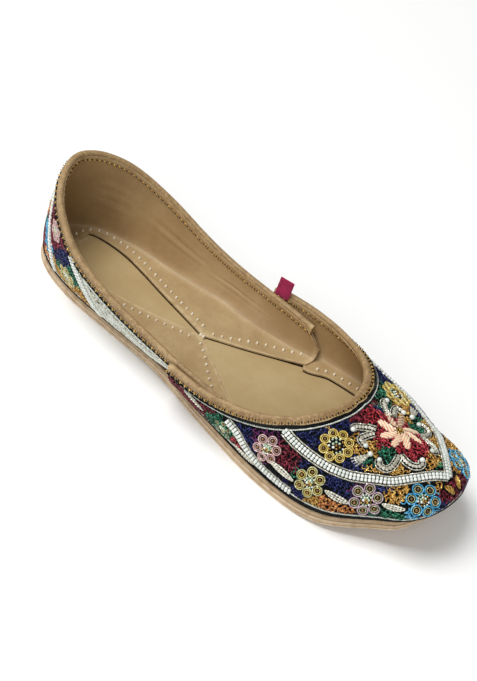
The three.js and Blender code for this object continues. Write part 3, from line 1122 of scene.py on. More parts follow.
@dataclass
class Inside:
    """What the foot meets: two sock panels, the quarter's lining and the vamp's, and hand stitches."""

    heel_sock: Table = Table(
        "x half",
        (-108, 10.5), (-104, 12.6), (-94, 14), (-82, 13.6), (-60, 9.2), (-36, 3.2), (-24, 0.3),
    )
    fore_sock: Table = Table("x half", (-24, 0.3), (-10, 8.5), (6, 18.5), (21, 27))
    meeting: float = -24.0
    sock_gap: float = 0.45
    fold: float = 3.2
    vamp_margin: float = 7.0
    margin_centre: float = 80.0
    lining: float = 0.9
    sock_skin: float = 0.6
    stitch_pitch: float = 4.4
    stitch_lift: float = 0.62
    stitch_size: tuple[float, float, float] = (1.5, 1.95, 1.6)
    heel_seam: float = 4.2
    fore_seam: float = 3.4

    def vamp_edge(self, t: Array) -> Array:
        """Inner edge of the vamp's turned-in margin on the far side."""
        outer = LAST.foot(t) + LAST.outward(t) * self.wall_inset(LAST.foot(t)[..., 0])[..., None]
        centre = xyz(np.minimum(outer[..., 0], self.margin_centre), 0, 0)
        length = np.linalg.norm(outer - centre, axis=-1)
        return outer + (centre - outer) * (self.vamp_margin / length)[..., None]

    @staticmethod
    def flap_lift(x: Array | float) -> Array:
        """How far the front tips of the quarter's margins lie above the vamp's."""
        return 0.7 * ramp(x, 8, 19)

    @staticmethod
    def wall_inset(x: Array) -> Array:
        """How far the walls' inner face is from the feather line, as an outward offset."""
        return -2.6 - LAST.tuck * ramp(x, -34, -15) * (1 - ramp(x, 22, 34))

    def build(self) -> None:
        """Makes the panels, linings and stitches."""
        self.socks()
        self.quarter_lining()
        self.vamp_lining()
        self.stitches()

    def socks(self) -> None:
        """The heel's and the forepart's sock panels, flush with the margins round them; their rims are
        dark, partly the cut edge's own colour and partly painted shade of the gap.
        """
        crown = (0.0, 0.93, 0.985, 1.0)
        for name, start, end in (
            ("heel_sock", -107.6, self.meeting), ("fore_sock", self.meeting, 111.0)
        ):
            x = start + (end - start) * np.linspace(0, 1, 80) ** (0.8 if start < -50 else 1.0)
            half = np.maximum(self.half_at(x) - self.sock_gap, 0.05)
            across = np.append(np.linspace(0, 0.955, 15), (0.98, 1.0))
            across = np.concatenate([-across[:0:-1], across])
            top = LAST.margin_top(x) - 0.25
            shift = 0.25 * ramp(x, self.meeting, self.meeting + 12)
            rows = []
            for side, drop in [(-1.0, 1.2)] + [(a, 0.0) for a in across] + [(1.0, 1.2)]:
                edge = np.interp(abs(side), crown, (0.0, 0.0, 0.12, 0.45))
                dome = 0.35 * (1 - abs(side) ** 2.0) * ramp(half, 2, 12)
                rows.append(xyz(x, half * side + shift, top - edge - drop + dome))
            piece = loft(name, np.stack(rows, axis=1), [Hide.SOCK, Hide.SOLE_CORE])
            # The rim faces take the dark core leather: the cut edge's colour and painted shade of the
            # gap round the panel.
            repaint(piece, lambda place: abs(2 * place - 1) > 0.88)
            thicken(piece, self.sock_skin)
            finish_piece(piece, "insole_leather", angle=50)

    def half_at(self, x: Array) -> Array:
        """Half width of the opening between the margins."""
        t = np.linspace(LAST.share(LAST.quarter_front), 0.985, 80)
        edge = self.vamp_edge(t)
        order = np.argsort(edge[:, 0])
        vamp = np.interp(x, edge[order, 0], edge[order, 1])
        fore = np.where(x < LAST.quarter_front, self.fore_sock.read("half", x), vamp)
        return np.where(x < self.meeting, self.heel_sock.read("half", x), fore)

    def lining_rows(self, surface: Surface, t: Array, inner: Array, top_v: Array) -> Array:
        """Sections of a lining that turns in over the insole.

        Args:
            surface: the upper's outer surface.
            t: the sections' places along it.
            inner: the turned-in edge's inner line, in plan.
            top_v: the v where each section ends.

        Returns:
            A grid of points: in from the margin's edge, round the fold and up the wall.
        """
        rows = []
        for place, edge, top in zip(t, inner, top_v):
            v = np.linspace(0.02, top, 60)
            wall = inside(surface, np.full_like(v, place), v, np.full_like(v, LAST.wall))
            height = LAST.margin_top(wall[0, 0])
            low = np.interp(height, wall[:, 2], v)
            high = np.interp(height + self.fold, wall[:, 2], v)
            one = np.array([place])
            corner = inside(surface, one, np.array([low]), LAST.wall * np.ones(1))[0]
            start = np.array([edge[0], edge[1], LAST.margin_top(edge[0])])
            reach = np.linalg.norm(corner - start)
            near = corner + (start - corner) * min(self.fold / reach, 0.9)
            up = np.linspace(high, top, 26)
            climb = inside(surface, np.full_like(up, place), up, np.full_like(up, LAST.wall))
            s = np.linspace(0, 1, 8)[1:-1, None]
            bend = (1 - s) ** 2 * near + 2 * s * (1 - s) * corner + s**2 * climb[0]
            flat = start + (near - start) * np.linspace(0, 1, 9)[:, None]
            rows.append(np.concatenate([flat, bend, climb]))
        return np.array(rows)

    def quarter_lining(self) -> None:
        """The quarter's lining with its turned-in margins."""
        end = LAST.share(LAST.quarter_front)
        t = np.linspace(-end, end, 180)
        foot = LAST.foot(np.abs(t))
        x = foot[:, 0]
        heel, fore = self.heel_sock.read("half", x), self.fore_sock.read("half", x)
        sock = np.where(x < self.meeting, heel, fore)
        edge = np.stack([np.maximum(x, -107.2), sock * np.clip(foot[:, 1] / 14.0, 0, 1)], axis=-1)
        edge[:, 1] *= np.sign(t)
        top = below_top(LAST.quarter, t, LAST.hem) - tip_clip(x)
        rows = self.lining_rows(LAST.quarter, t, edge, top)
        rows = self.creased(rows, t)
        rows[..., 2] += self.flap_lift(rows[..., 0])
        self.line_with("quarter_lining", rows, "quarter_margin")

    @staticmethod
    def creased(rows: Array, t: Array) -> Array:
        """The lining with a few soft wrinkles in the heel's corners and along the waist."""
        share = np.linspace(0, 1, rows.shape[1])[None]
        wave = np.zeros(rows.shape[:2])
        for place, level, length, depth in (
            (0.155, 0.62, 0.045, 0.35), (0.165, 0.70, 0.04, 0.3), (0.15, 0.78, 0.04, 0.25),
            (-0.155, 0.64, 0.045, 0.35), (-0.165, 0.74, 0.04, 0.3),
            (0.31, 0.66, 0.05, 0.4), (-0.33, 0.62, 0.05, 0.4), (0.42, 0.6, 0.04, 0.3),
        ):
            run = (t[:, None] - place) / length
            fade = np.exp(-(((share - level) / 0.07) ** 2))
            wave += depth * np.exp(-(run**2)) * np.sin((share - level) * 60) * fade
        out = unit(rows * (0, 1, 0))
        return rows + out * wave[..., None]

    def line_with(self, name: str, rows: Array, node: str) -> None:
        """Makes a lining, whose turned-in part has its own finish.

        Args:
            name: the piece's name.
            rows: its sections.
            node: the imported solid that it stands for.
        """
        piece = loft(name, rows, [Hide.LINING, Hide.MARGIN], turn=True)
        repaint(piece, lambda place: place < 0.3)
        thicken(piece, self.lining)
        finish_piece(piece, "upper_leather", node, angle=45)

    def vamp_lining(self) -> None:
        """The vamp's lining with its turned-in margin."""
        back = LAST.share(LAST.vamp_back)
        t = np.linspace(back, 2 - back, 200)
        share = np.where(t > 1, 2 - t, t)
        edge = self.vamp_edge(share)
        x = LAST.foot(share)[..., 0]
        wing = LAST.foot(share) + LAST.outward(share) * (self.wall_inset(x) + 1.5)[..., None]
        blend = ramp(x, 15.5, 20.5)[..., None]
        edge = wing * (1 - blend) + edge * blend
        edge[:, 1] *= np.where(t > 1, -1, 1)
        top = below_top(LAST.vamp, t, LAST.hem)
        rows = self.lining_rows(LAST.vamp, t, edge[:, :2], top)
        self.line_with("vamp_lining", rows, "vamp_margin")

    def stitches(self) -> None:
        """White hand stitches along the margins and the thick one where they meet."""
        x = np.linspace(self.meeting - 4, -104, 60)
        side_row = np.stack([x, self.heel_sock.read("half", x) + self.heel_seam], axis=-1)
        corner = [(-107.8, 13.6), (-109.9, 10.2), (-110.7, 6), (-110.9, 0)]
        half_row = np.concatenate([side_row, corner])
        heel = np.concatenate([half_row, half_row[-2::-1] * (1, -1)])
        x = np.linspace(self.meeting + 3, LAST.quarter_front - 2, 60)
        half = self.fore_sock.read("half", x) + 3.0 + 4.0 * ramp(x, -20, 0)
        waist = np.stack([x, half], axis=-1)
        t = np.linspace(LAST.share(26), 0.995, 60)
        fore = (self.vamp_edge(t) + LAST.outward(t) * self.fore_seam)[:, :2]
        upright = np.array([0, 0, 1.0])
        places = []
        for line, side, raised in (
            (heel, 1, True), (waist, -1, True), (waist, 1, True), (fore, -1, False), (fore, 1, False)
        ):
            line = resampled(line * (1, side), self.stitch_pitch)
            for p, a in zip(line, unit(np.gradient(line, axis=0))):
                lift = self.stitch_lift + raised * self.flap_lift(p[0])
                at = xyz(*p, LAST.margin_top(p[0]) + lift)
                places.append(Copy(at, upright, np.append(a, 0), self.stitch_size))
        for ahead in (-0.8, 0.8):
            at = xyz(self.meeting + ahead, 0, LAST.margin_top(self.meeting) + 0.35)
            places.append(Copy(at, upright, np.array([0.25, 1.0, 0]), (2.3, 2.0, 1.6)))
        piece = copies("hand_stitches", SHAPES.stitch(), places, [dye(Beading.LINEN)])
        finish_piece(piece, "insole_leather")


# ---- Upper: outer shells, bindings, piping and tab --------------------------------------------------


@dataclass
class Upper:
    """The outer cloth of quarter and vamp, the leather bindings on their edges, and the side tab."""

    cloth_skin: float = 1.0
    binding_depth: float = 4.9
    binding_proud: float = 0.55
    binding_skin: float = 0.7
    seam_depth: float = 3.7
    seam_step: float = 2.1
    seam_stitch: tuple[float, float, float] = (1.25, 1.4, 1.0)
    hole_shade: tuple[float, float, float] = (0.6, 1.7, 0.9)
    wing_roll: float = 1.05
    tab_span: tuple[float, float] = (0.446, 0.488)
    tab_skin: float = 0.3

    def build(self) -> None:
        """Makes the shells, bindings, piping and tab."""
        end = LAST.share(LAST.quarter_front)
        back = LAST.share(LAST.vamp_back)
        self.shell("quarter_cloth", LAST.quarter, -end, end, 150, "quarter")
        self.shell("vamp_cloth", LAST.vamp, back, 2 - back, 190, "vamp")
        tip = LAST.share(14.0)
        self.binding("collar_edge", LAST.quarter, -tip, tip, "collar_binding")
        self.binding("throat_edge", LAST.vamp, back, 2 - back, "throat_binding")
        self.wing_edges(back)
        self.tab()

    def shell(
        self, name: str, surface: Surface, start: float, end: float, count: int, node: str
    ) -> None:
        """One outer shell of cloth on leather.

        Args:
            name: the piece's name.
            surface: its outer surface.
            start: its first t.
            end: its last t.
            count: how many sections it has.
            node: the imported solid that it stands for.
        """
        t = np.linspace(start, end, count)
        x = LAST.foot(np.abs(t))[:, 0]
        clip = tip_clip(x) if node == "quarter" else 0 * t
        top = below_top(surface, t, LAST.hem) - clip
        v = np.linspace(0, 1, 26)[None] * top[:, None]
        grid = surface(t[:, None] * np.ones_like(v), v)
        piece = loft(name, grid, [Ground.CLOTH, Hide.LINING], turn=True)
        thicken(piece, self.cloth_skin, material_offset=1, material_offset_rim=1)
        slot = "embroidered_cloth" if node == "vamp" else "upper_leather"
        finish_piece(piece, slot, node, angle=45)

    def binding(self, name: str, surface: Surface, start: float, end: float, node: str) -> None:
        """A leather strip folded over an edge, with its row of stitches on both faces.

        Args:
            name: the piece's name.
            surface: the surface whose top edge it covers.
            start: its first t.
            end: its last t.
            node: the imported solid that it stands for.
        """
        t = np.linspace(start, end, 240)
        outer, inner = -self.binding_proud, LAST.wall + self.binding_proud
        radius = (inner - outer) / 2
        downs = (self.binding_depth, 4.0, 3.0, 2.2)
        profile = [(down, outer) for down in downs]
        for angle in np.radians(np.linspace(0, 180, 11)):
            down = radius - 0.2 - radius * math.sin(angle)
            profile.append((down, outer + radius * (1 - math.cos(angle))))
        profile += [(down, inner) for down in reversed(downs)]
        columns = []
        for down, depth in profile:
            pull = math.exp(-(((down - self.seam_depth) / 0.35) ** 2))
            sunk = 0.18 * pull * (1 if depth < 1 else -1)
            wander = 0.25 * np.sin(t * 41) + 0.15 * np.sin(t * 97) if down > 4.5 else 0 * t
            v = below_top(surface, t, down + wander)
            columns.append(inside(surface, t, v, np.full_like(t, depth + sunk)))
        piece = loft(name, np.stack(columns, axis=1), [Hide.BINDING], turn=True)
        thicken(piece, self.binding_skin)
        finish_piece(piece, "binding_leather", node, angle=50)
        self.edge_stitches(name + "_stitches", surface, start, end)

    def edge_stitches(self, name: str, surface: Surface, start: float, end: float) -> None:
        """Machine stitches and, between them, dark marks of painted shade in the needle holes, along
        both faces of a binding.

        Args:
            name: the piece's name.
            surface: the surface whose edge is bound.
            start: the binding's first t.
            end: its last t.
        """
        t = np.linspace(start, end, 900)
        v = below_top(surface, t, self.seam_depth)
        places = []
        for depth in (-self.binding_proud - 0.02, LAST.wall + self.binding_proud + 0.02):
            line = inside(surface, t, v, np.full_like(t, depth))
            core = inside(surface, t, v, np.full_like(t, 1.0))
            both = resampled(np.concatenate([line, core], axis=1), self.seam_step)
            line, out = both[:, :3], unit(both[:, :3] - both[:, 3:])
            along = unit(np.gradient(line, axis=0))
            for i, (p, n, a) in enumerate(zip(line, out, along)):
                # Every other place gets a black mark: the painted shade of a needle hole.
                if i % 2:
                    places.append(Copy(p + 0.02 * n, n, a, self.hole_shade, 1))
                else:
                    places.append(Copy(p + 0.2 * n, n, a, self.seam_stitch, 0))
        piece = copies(name, SHAPES.dash(), places, [dye(Beading.GOLD), dye(Thread.BLACK)])
        finish_piece(piece, "binding_leather")

    def wing_edges(self, back: float) -> None:
        """A rolled leather edge down the back of each wing."""
        strands = []
        for t in (back, 2 - back):
            v = np.linspace(0.02, 0.93, 30)
            line = inside(LAST.vamp, np.full_like(v, t), v, np.full_like(v, LAST.wall / 2))
            strands.append(Strand(line, self.wing_roll))
        piece = cords("wing_edges", strands, [dye(Hide.BINDING)], 2)
        finish_piece(piece, "binding_leather")

    def tab(self) -> None:
        """The folded ribbon caught behind the far wing's back corner."""
        t = np.linspace(*self.tab_span, 9)
        step = LAST.vamp_ribs.read("step", t)
        out = LAST.outward(t)
        foot = xyz(*(LAST.throat.read(k, step) for k in "xyz")) - out * 2.75
        rows = []
        for up, deep in (
            (-3, 0.0), (0, 0.05), (3.5, 0.0), (7.0, 0.0), (7.7, 0.15), (7.9, 0.45),
            (7.7, 0.75), (7.0, 0.9), (3.5, 0.9), (0, 0.85), (-3, 0.9),
        ):
            p = foot - out * (deep - 0.12 * up)
            p[:, 2] = foot[:, 2] + up
            rows.append(p)
        piece = loft("side_ribbon", np.stack(rows, axis=1), [Ground.RIBBON])
        thicken(piece, self.tab_skin, offset=1)
        apply(piece, "SUBSURF", levels=1, render_levels=1)
        finish_piece(piece, "tab_cloth", "side_tab", angle=60)


class Ground(Enum):
    """The upper's cloths."""

    CLOTH = Cloth("embroidery_ground", "#08090e", "#0b1412", sheen=0.03)
    RIBBON = Cloth("tab_ribbon", "#cf1f66", "#a91450", yarn=0.35, depth=0.05, sheen=0.4)


# ---- Embroidery -----------------------------------------------------------------------------------


class Field:
    """One outer surface of the upper, charted in millimetres: along the sole, and up from it."""

    def __init__(self, surface: Surface, start: float, end: float, origin: float) -> None:
        """Charts the surface.

        Args:
            surface: the surface.
            start: its first t.
            end: its last t.
            origin: the t that lengths along the sole are counted from.
        """
        self.surface = surface
        self.t = np.linspace(start, end, 400)
        self.v = np.linspace(0, 1, 64)
        grid_t, grid_v = np.meshgrid(self.t, self.v, indexing="ij")
        self.points = surface(grid_t, grid_v)
        along, up = np.gradient(self.points, axis=0), np.gradient(self.points, axis=1)
        self.cross = np.cross(up, along)
        self.normals = unit(self.cross).reshape(-1, 3)
        run = lengths(self.points[:, 0])
        self.arc = run - np.interp(origin, self.t, run)
        foot = np.zeros((len(self.t), 1))
        self.rise = np.concatenate([foot, self.steps(self.points).cumsum(axis=1)], axis=1)
        rows, width = self.points.shape[:2]
        first = (np.arange(rows - 1)[:, None] * width + np.arange(width - 1)).ravel()
        self.quads = np.stack([first, first + 1, first + width + 1, first + width], axis=1)
        corners = [Vector(p) for p in self.points.reshape(-1, 3)]
        self.tree = BVHTree.FromPolygons(corners, self.quads.tolist())

    @staticmethod
    def steps(ribs: Array) -> Array:
        """Distances from each point of the ribs to the next."""
        return np.linalg.norm(np.diff(ribs, axis=1), axis=2)

    def at(self, along: Array | float, up: Array | float) -> Array:
        """Points of the surface from their lengths along the sole and up the ribs."""
        along, up = np.broadcast_arrays(np.atleast_1d(np.asarray(along, float)), up)
        t = np.interp(along, self.arc, self.t)
        v = np.linspace(0, 1, 50)
        ribs = self.surface(t[:, None] + 0 * v, v[None] + 0 * t[:, None])
        run = np.cumsum(self.steps(ribs), axis=1)
        run = np.concatenate([np.zeros((len(t), 1)), run], axis=1)
        share = np.array([np.interp(h, r, v) for h, r in zip(up, run)])
        return self.surface(t, share)

    def height(self, along: Array) -> Array:
        """Length of the rib at each place along the sole."""
        t = np.interp(along, self.arc, self.t)
        v = np.linspace(0, 1, 40)
        ribs = self.surface(t[:, None] + 0 * v, v[None] + 0 * t[:, None])
        return self.steps(ribs).sum(axis=1)

    def lay(self, points: Array, lift: Array | float = 0.0) -> tuple[Array, Array]:
        """The nearest places on the surface.

        Args:
            points: where to look from.
            lift: how far to stand off the surface.

        Returns:
            The places and the outward directions there.
        """
        places, outs = np.empty((len(points), 3)), np.empty((len(points), 3))
        for i, p in enumerate(points):
            place, _, face, _ = self.tree.find_nearest(Vector(p))
            places[i] = place
            outs[i] = self.normals[self.quads[face]].sum(0)
        outs = unit(outs)
        return places + outs * np.broadcast_to(lift, len(points))[:, None], outs

    def route(self, points: Sequence[tuple[float, float]], step: float) -> tuple[Array, Array]:
        """A smooth line on the surface.

        Args:
            points: lengths along and up, in order.
            step: distance between the line's points.

        Returns:
            The line's points and the outward directions there.
        """
        chart = rounded(points)
        return self.lay(resampled(self.at(chart[:, 0], chart[:, 1]), step))

    def frame(self, along: float, up: float, heading: float = 0.0) -> tuple[Array, Array, Array]:
        """A place on the surface with two directions in it.

        Args:
            along: length along the sole.
            up: length up the rib.
            heading: turn of the directions, in degrees.

        Returns:
            The place, the direction up the rib and the one across it, both turned by the heading.
        """
        pair = self.at(np.array([along, along]), np.array([up, up + 0.5]))
        place, out = self.lay(pair[:1])
        rise = unit(np.cross(np.cross(out[0], unit(pair[1] - pair[0])), out[0]))
        side = np.cross(rise, out[0])
        c, s = math.cos(math.radians(heading)), math.sin(math.radians(heading))
        return place[0], rise * c + side * s, side * c - rise * s

    def sites(self, spacing: float, draws: int, ends: float, rng: np.random.Generator) -> Array:
        """Scattered places between the sole's cords and the binding's.

        Args:
            spacing: the least distance between two.
            draws: how many are tried.
            ends: share of the surface's length that stays bare at either end.
            rng: the source of the draws.

        Returns:
            The places.
        """
        below_edge = self.rise[:, -1:] - self.rise
        share = np.abs(np.linspace(-1, 1, len(self.t)))[:, None]
        sewn = (self.rise > 4.3) & (below_edge > 8.0) & (share < 1 - ends)
        cell = (np.linalg.norm(self.cross, axis=-1) * sewn)[:-1, :-1].ravel()
        chosen = rng.choice(len(cell), size=draws, p=cell / cell.sum())
        i, j = np.divmod(chosen, self.points.shape[1] - 1)
        across, rise = rng.random(draws)[:, None], rng.random(draws)[:, None]
        low = self.points[i, j] * (1 - across) + self.points[i + 1, j] * across
        high = self.points[i, j + 1] * (1 - across) + self.points[i + 1, j + 1] * across
        places = low * (1 - rise) + high * rise
        taken: dict[tuple[int, ...], list[Array]] = {}
        kept = []
        for p in places:
            box = tuple((p // spacing).astype(int))
            near = [
                q
                for dx in (-1, 0, 1) for dy in (-1, 0, 1) for dz in (-1, 0, 1)
                for q in taken.get((box[0] + dx, box[1] + dy, box[2] + dz), [])
            ]
            if all(((p - q) ** 2).sum() > spacing**2 for q in near):
                taken.setdefault(box, []).append(p)
                kept.append(p)
        return np.array(kept)


@dataclass(frozen=True)
class Band:
    """Rows of pearls between thin cords, along a line charted as (along, up)."""

    line: tuple[tuple[float, float], ...]
    rows: int = 2


@dataclass(frozen=True)
class RingFlower:
    """A flower whose petals are rings of cord round a bead."""

    along: float
    up: float
    radius: float
    petals: int
    ring: Thread
    core: Thread = Thread.YELLOW
    heading: float = 0.0


@dataclass(frozen=True)
class SatinFlower:
    """A flower whose petals are slanted satin threads."""

    along: float
    up: float
    petals: tuple[float, ...]


@dataclass(frozen=True)
class Scroll:
    """A thick coil between two thin cords, with a pearl at either end where asked."""

    line: tuple[tuple[float, float], ...]
    radius: float = 0.85
    thread: Thread = Thread.SILVER
    pearls: tuple[bool, bool] = (True, False)
    outlined: bool = True


@dataclass(frozen=True)
class Leaf:
    """Two coils side by side, pointed at both ends."""

    line: tuple[tuple[float, float], ...]
    width: float = 1.0
    thread: Thread = Thread.SILVER


@dataclass(frozen=True)
class Fan:
    """Short bars that spread from one pearl."""

    along: float
    up: float
    heading: float
    bars: int = 4
    length: float = 6.0
    spread: float = 24.0
    thread: Thread = Thread.SILVER


@dataclass(frozen=True)
class Patch:
    """Where the looped filling has one colour."""

    along: float
    up: float
    reach: float
    thread: Thread


Motif = Band | RingFlower | SatinFlower | Scroll | Leaf | Fan | Patch


def patches(thread: Thread, *spots: tuple[float, float, float]) -> list[Patch]:
    """Patches of one colour, each from its along, its up and its reach."""
    return [Patch(*spot, thread) for spot in spots]


def mirrored(*motifs: Motif) -> list[Motif]:
    """The motifs and the same ones on the other side."""
    result = list(motifs)
    for motif in motifs:
        changes: dict[str, Any] = {}
        if hasattr(motif, "line"):
            changes["line"] = tuple((-a, h) for a, h in motif.line)
        if hasattr(motif, "along"):
            changes["along"] = -motif.along
        if hasattr(motif, "heading"):
            changes["heading"] = -motif.heading
        result.append(replace(motif, **changes))
    return result


def circle(
    place: Array, rise: Array, side: Array, radius: float, count: int, start: float = 0.0
) -> Array:
    """Points evenly round a circle.

    Args:
        place: its middle.
        rise: the direction that it is counted from.
        side: the direction that it is counted towards.
        radius: its radius.
        count: how many points.
        start: how far past the first direction it starts, in steps.

    Returns:
        One row for each point.
    """
    turns = 2 * math.pi * (np.arange(count) + start) / count
    return place + radius * (np.cos(turns)[:, None] * rise + np.sin(turns)[:, None] * side)


@dataclass
class Embroidery:
    """All that is sewn on one outer surface."""

    name: str
    slot: str
    chart: Field
    motifs: list[Motif]
    seed: int
    spacing: float = 1.4
    ends: float = 0.0
    pearl_pitch: float = 1.72
    pearl_row: float = 1.5
    pearl_size: tuple[float, float, float] = (0.72, 0.76, 0.7)
    nose_lift: float = 0.0
    sole_cords: tuple[tuple[float, float, Thread], ...] = (
        (0.9, 0.75, Thread.BLACK), (2.2, 0.8, Thread.BLACK), (3.5, 0.42, Thread.WHITE)
    )
    lines: list[Strand] = field(default_factory=list)
    fill: list[Strand] = field(default_factory=list)
    pearls: list[Copy] = field(default_factory=list)
    beads: list[Copy] = field(default_factory=list)
    rings: list[Copy] = field(default_factory=list)
    clear: list[tuple[Array, float]] = field(default_factory=list)

    def build(self) -> None:
        """Sews every motif, fills the ground between them, and makes the pieces."""
        sewing = {
            Band: self.sew_band, RingFlower: self.sew_rings, SatinFlower: self.sew_satin,
            Scroll: self.sew_scroll, Leaf: self.sew_leaf, Fan: self.sew_fan,
        }
        for motif in self.motifs:
            if not isinstance(motif, Patch):
                sewing[type(motif)](motif)
        self.sew_filling()
        threads = [dye(thread) for thread in Thread]
        beads = [dye(bead) for bead in Beading]
        made = [
            cords(f"{self.name}_cords", self.lines, threads),
            cords(f"{self.name}_loops", self.fill, threads),
            copies(f"{self.name}_pearls", SHAPES.pearl(), self.pearls, beads, self.seed),
            copies(f"{self.name}_beads", SHAPES.bead(), self.beads, beads, self.seed),
            copies(f"{self.name}_rings", SHAPES.ring(), self.rings, threads, self.seed),
        ]
        for piece in made:
            finish_piece(piece, self.slot)

    def keep_clear(self, points: Array, radius: float) -> None:
        """Keeps the filling off a line or a place."""
        self.clear.extend((p, radius) for p in np.atleast_2d(points))

    def bead(self, at: Array, out: Array, radius: float, kind: Beading, flat: float = 0.85) -> None:
        """Adds one round bead."""
        along = np.cross(out, (0.3, 0.5, 0.8))
        size = (radius, radius, radius * flat)
        self.beads.append(Copy(at + out * radius * 0.55, out, along, size, kind.number))

    def coil(self, line: Array, radius: float, thread: Thread, taper: float = 0.0) -> None:
        """Adds a close coil of wire along a line that already stands off the surface."""
        line = resampled(line, 0.3)
        share = np.linspace(0, 1, len(line))
        grooves = 1 + 0.3 * np.cos(np.arange(len(line)) * math.pi * 0.4)
        ends = 1 - taper * np.abs(2 * share - 1) ** 2
        self.lines.append(Strand(line, radius * grooves * ends, thread.number))

    def piping(self, line: Array, lift: float, radius: float, pitch: float, thread: Thread) -> None:
        """Adds a twisted cord along a line of the surface."""
        at, up = self.chart.lay(line, lift)
        self.lines += twisted(at, up, radius, pitch, thread.number)

    def sew_band(self, band: Band) -> None:
        """Sews rows of pearls and the thin cords beside them."""
        line, out = self.chart.route(band.line, self.pearl_pitch)
        along = unit(np.gradient(line, axis=0))
        side = np.cross(out, along)
        half = self.pearl_row * (band.rows - 1) / 2
        for offset in np.linspace(-half, half, band.rows):
            at, up = self.chart.lay(line + side * offset, 0.5)
            for p, n, a in zip(at, up, along):
                self.pearls.append(Copy(p, n, a, self.pearl_size, Beading.PEARL.number))
        for sign in (-1, 1):
            self.piping(line + side * sign * (half + 1.4), 0.3, 0.36, 1.7, Thread.SILVER)
        self.keep_clear(resampled(line, 1.5), half + 1.9)

    def sew_rings(self, flower: RingFlower) -> None:
        """Sews rings round beads in a circle, and a cluster of beads in the middle."""
        place, rise, side = self.chart.frame(flower.along, flower.up, flower.heading)
        ring = flower.radius * (0.3 if flower.petals < 7 else 0.25)
        reach = flower.radius - 1.08 * ring
        outer = (ring, ring, ring * 1.6)
        inner = (ring * 0.62, ring * 0.62, ring * 1.3)
        spots = circle(place, rise, side, reach, flower.petals)
        for p, n in zip(*self.chart.lay(spots, 0.4)):
            self.rings.append(Copy(p, n, rise, outer, flower.ring.number))
            self.rings.append(Copy(p - 0.05 * n, n, rise, inner, flower.core.number))
            self.bead(p - 0.35 * n, n, ring * 0.33, Beading.BRONZE)
            self.keep_clear(p, ring * 1.1)
        kinds = (Beading.CLEAR, Beading.GOLD, Beading.PEARL, Beading.CLEAR, Beading.BRONZE)
        middle = reach - 1.15 * ring
        for share, count, size in ((0.0, 1, 0.8), (0.46, 6, 0.7), (0.94, 12, 0.58)):
            spots = circle(place, rise, side, middle * share, count, 0.5 * share)
            for i, (p, n) in enumerate(zip(*self.chart.lay(spots))):
                self.bead(p, n, size, Beading.GOLD if count == 1 else kinds[i * 3 % 5])
        self.keep_clear(place, reach)

    def sew_satin(self, flower: SatinFlower) -> None:
        """Sews petals of slanted threads, by turns cream and pink, round a cluster of gold beads."""
        place, rise, side = self.chart.frame(flower.along, flower.up)
        root, width, threads = 1.8, 2.1, 10
        for i, length in enumerate(flower.petals):
            turn = 2 * math.pi * (i + 0.5) / len(flower.petals)
            forward = rise * math.cos(turn) + side * math.sin(turn)
            across = side * math.cos(turn) - rise * math.sin(turn)
            for k in range(threads):
                share = (k + 0.5) / threads
                half = width * math.sin(math.pi * share**1.2) ** 0.9 + 0.12
                s = np.linspace(-1, 1, 6)[:, None]
                middle = root + (length - root) * share
                line = place + forward * (middle + s * 0.95 * half) + across * s * half
                pink = k % 2
                swell = math.sin(math.pi * share) ** 0.5
                lift = 0.3 + (0.85 - 0.25 * pink) * (1 - s[:, 0] ** 2) * swell
                at, _ = self.chart.lay(line, lift)
                kind = Thread.ROSE if pink else Thread.CREAM
                self.lines.append(Strand(at, 0.34 if pink else 0.45, kind.number))
            tip = place + forward * np.linspace(root, length, 8)[:, None]
            self.keep_clear(tip, 1.5)
        for ring, count, size in ((0.0, 1, 0.9), (1.3, 7, 0.6)):
            for p, n in zip(*self.chart.lay(circle(place, rise, side, ring, count), 0.3)):
                self.bead(p, n, size, Beading.GOLD)

    def sew_scroll(self, scroll: Scroll) -> None:
        """Sews a coil, its outlines and its pearls."""
        line, out = self.chart.route(scroll.line, 0.6)
        side = np.cross(out, unit(np.gradient(line, axis=0)))
        self.coil(line + out * scroll.radius * 0.8, scroll.radius, scroll.thread)
        if scroll.outlined:
            for sign in (-1, 1):
                beside = line + side * sign * (scroll.radius + 0.75)
                self.piping(beside, 0.25, 0.34, 1.5, Thread.SILVER)
        for wanted, end in zip(scroll.pearls, (0, -1)):
            if wanted:
                self.bead(line[end], out[end], 1.3, Beading.PEARL)
                self.keep_clear(line[end], 1.5)
        self.keep_clear(line[2:-2:2], scroll.radius + (1.0 if scroll.outlined else 0.3))

    def sew_leaf(self, leaf: Leaf) -> None:
        """Sews two coils that part in the middle and meet at the ends."""
        line, out = self.chart.route(leaf.line, 0.6)
        side = np.cross(out, unit(np.gradient(line, axis=0)))
        bow = leaf.width * np.sin(math.pi * np.linspace(0, 1, len(line))) ** 0.6
        for sign in (-1, 1):
            at, _ = self.chart.lay(line + side * (sign * bow)[:, None], 0.55)
            self.coil(at, 0.56, leaf.thread, 0.4)
        at, _ = self.chart.lay(line, 0.7)
        self.coil(at[2:-2], 0.46, leaf.thread, 0.3)
        self.keep_clear(line[::2], leaf.width + 0.6)

    def sew_fan(self, fan: Fan) -> None:
        """Sews bars that spread from a pearl."""
        for i in range(fan.bars):
            turn = fan.heading + fan.spread * (i - (fan.bars - 1) / 2)
            place, ahead, _ = self.chart.frame(fan.along, fan.up, turn)
            line = place + ahead * np.linspace(1.2, fan.length, 8)[:, None]
            at, _ = self.chart.lay(line, 0.5)
            self.coil(at, 0.62, fan.thread, 0.35)
            self.keep_clear(line[::2], 1.0)
        place, _, _ = self.chart.frame(fan.along, fan.up)
        at, out = self.chart.lay(place[None])
        self.bead(at[0], out[0], 1.35, Beading.PEARL)
        self.keep_clear(place, 1.3)

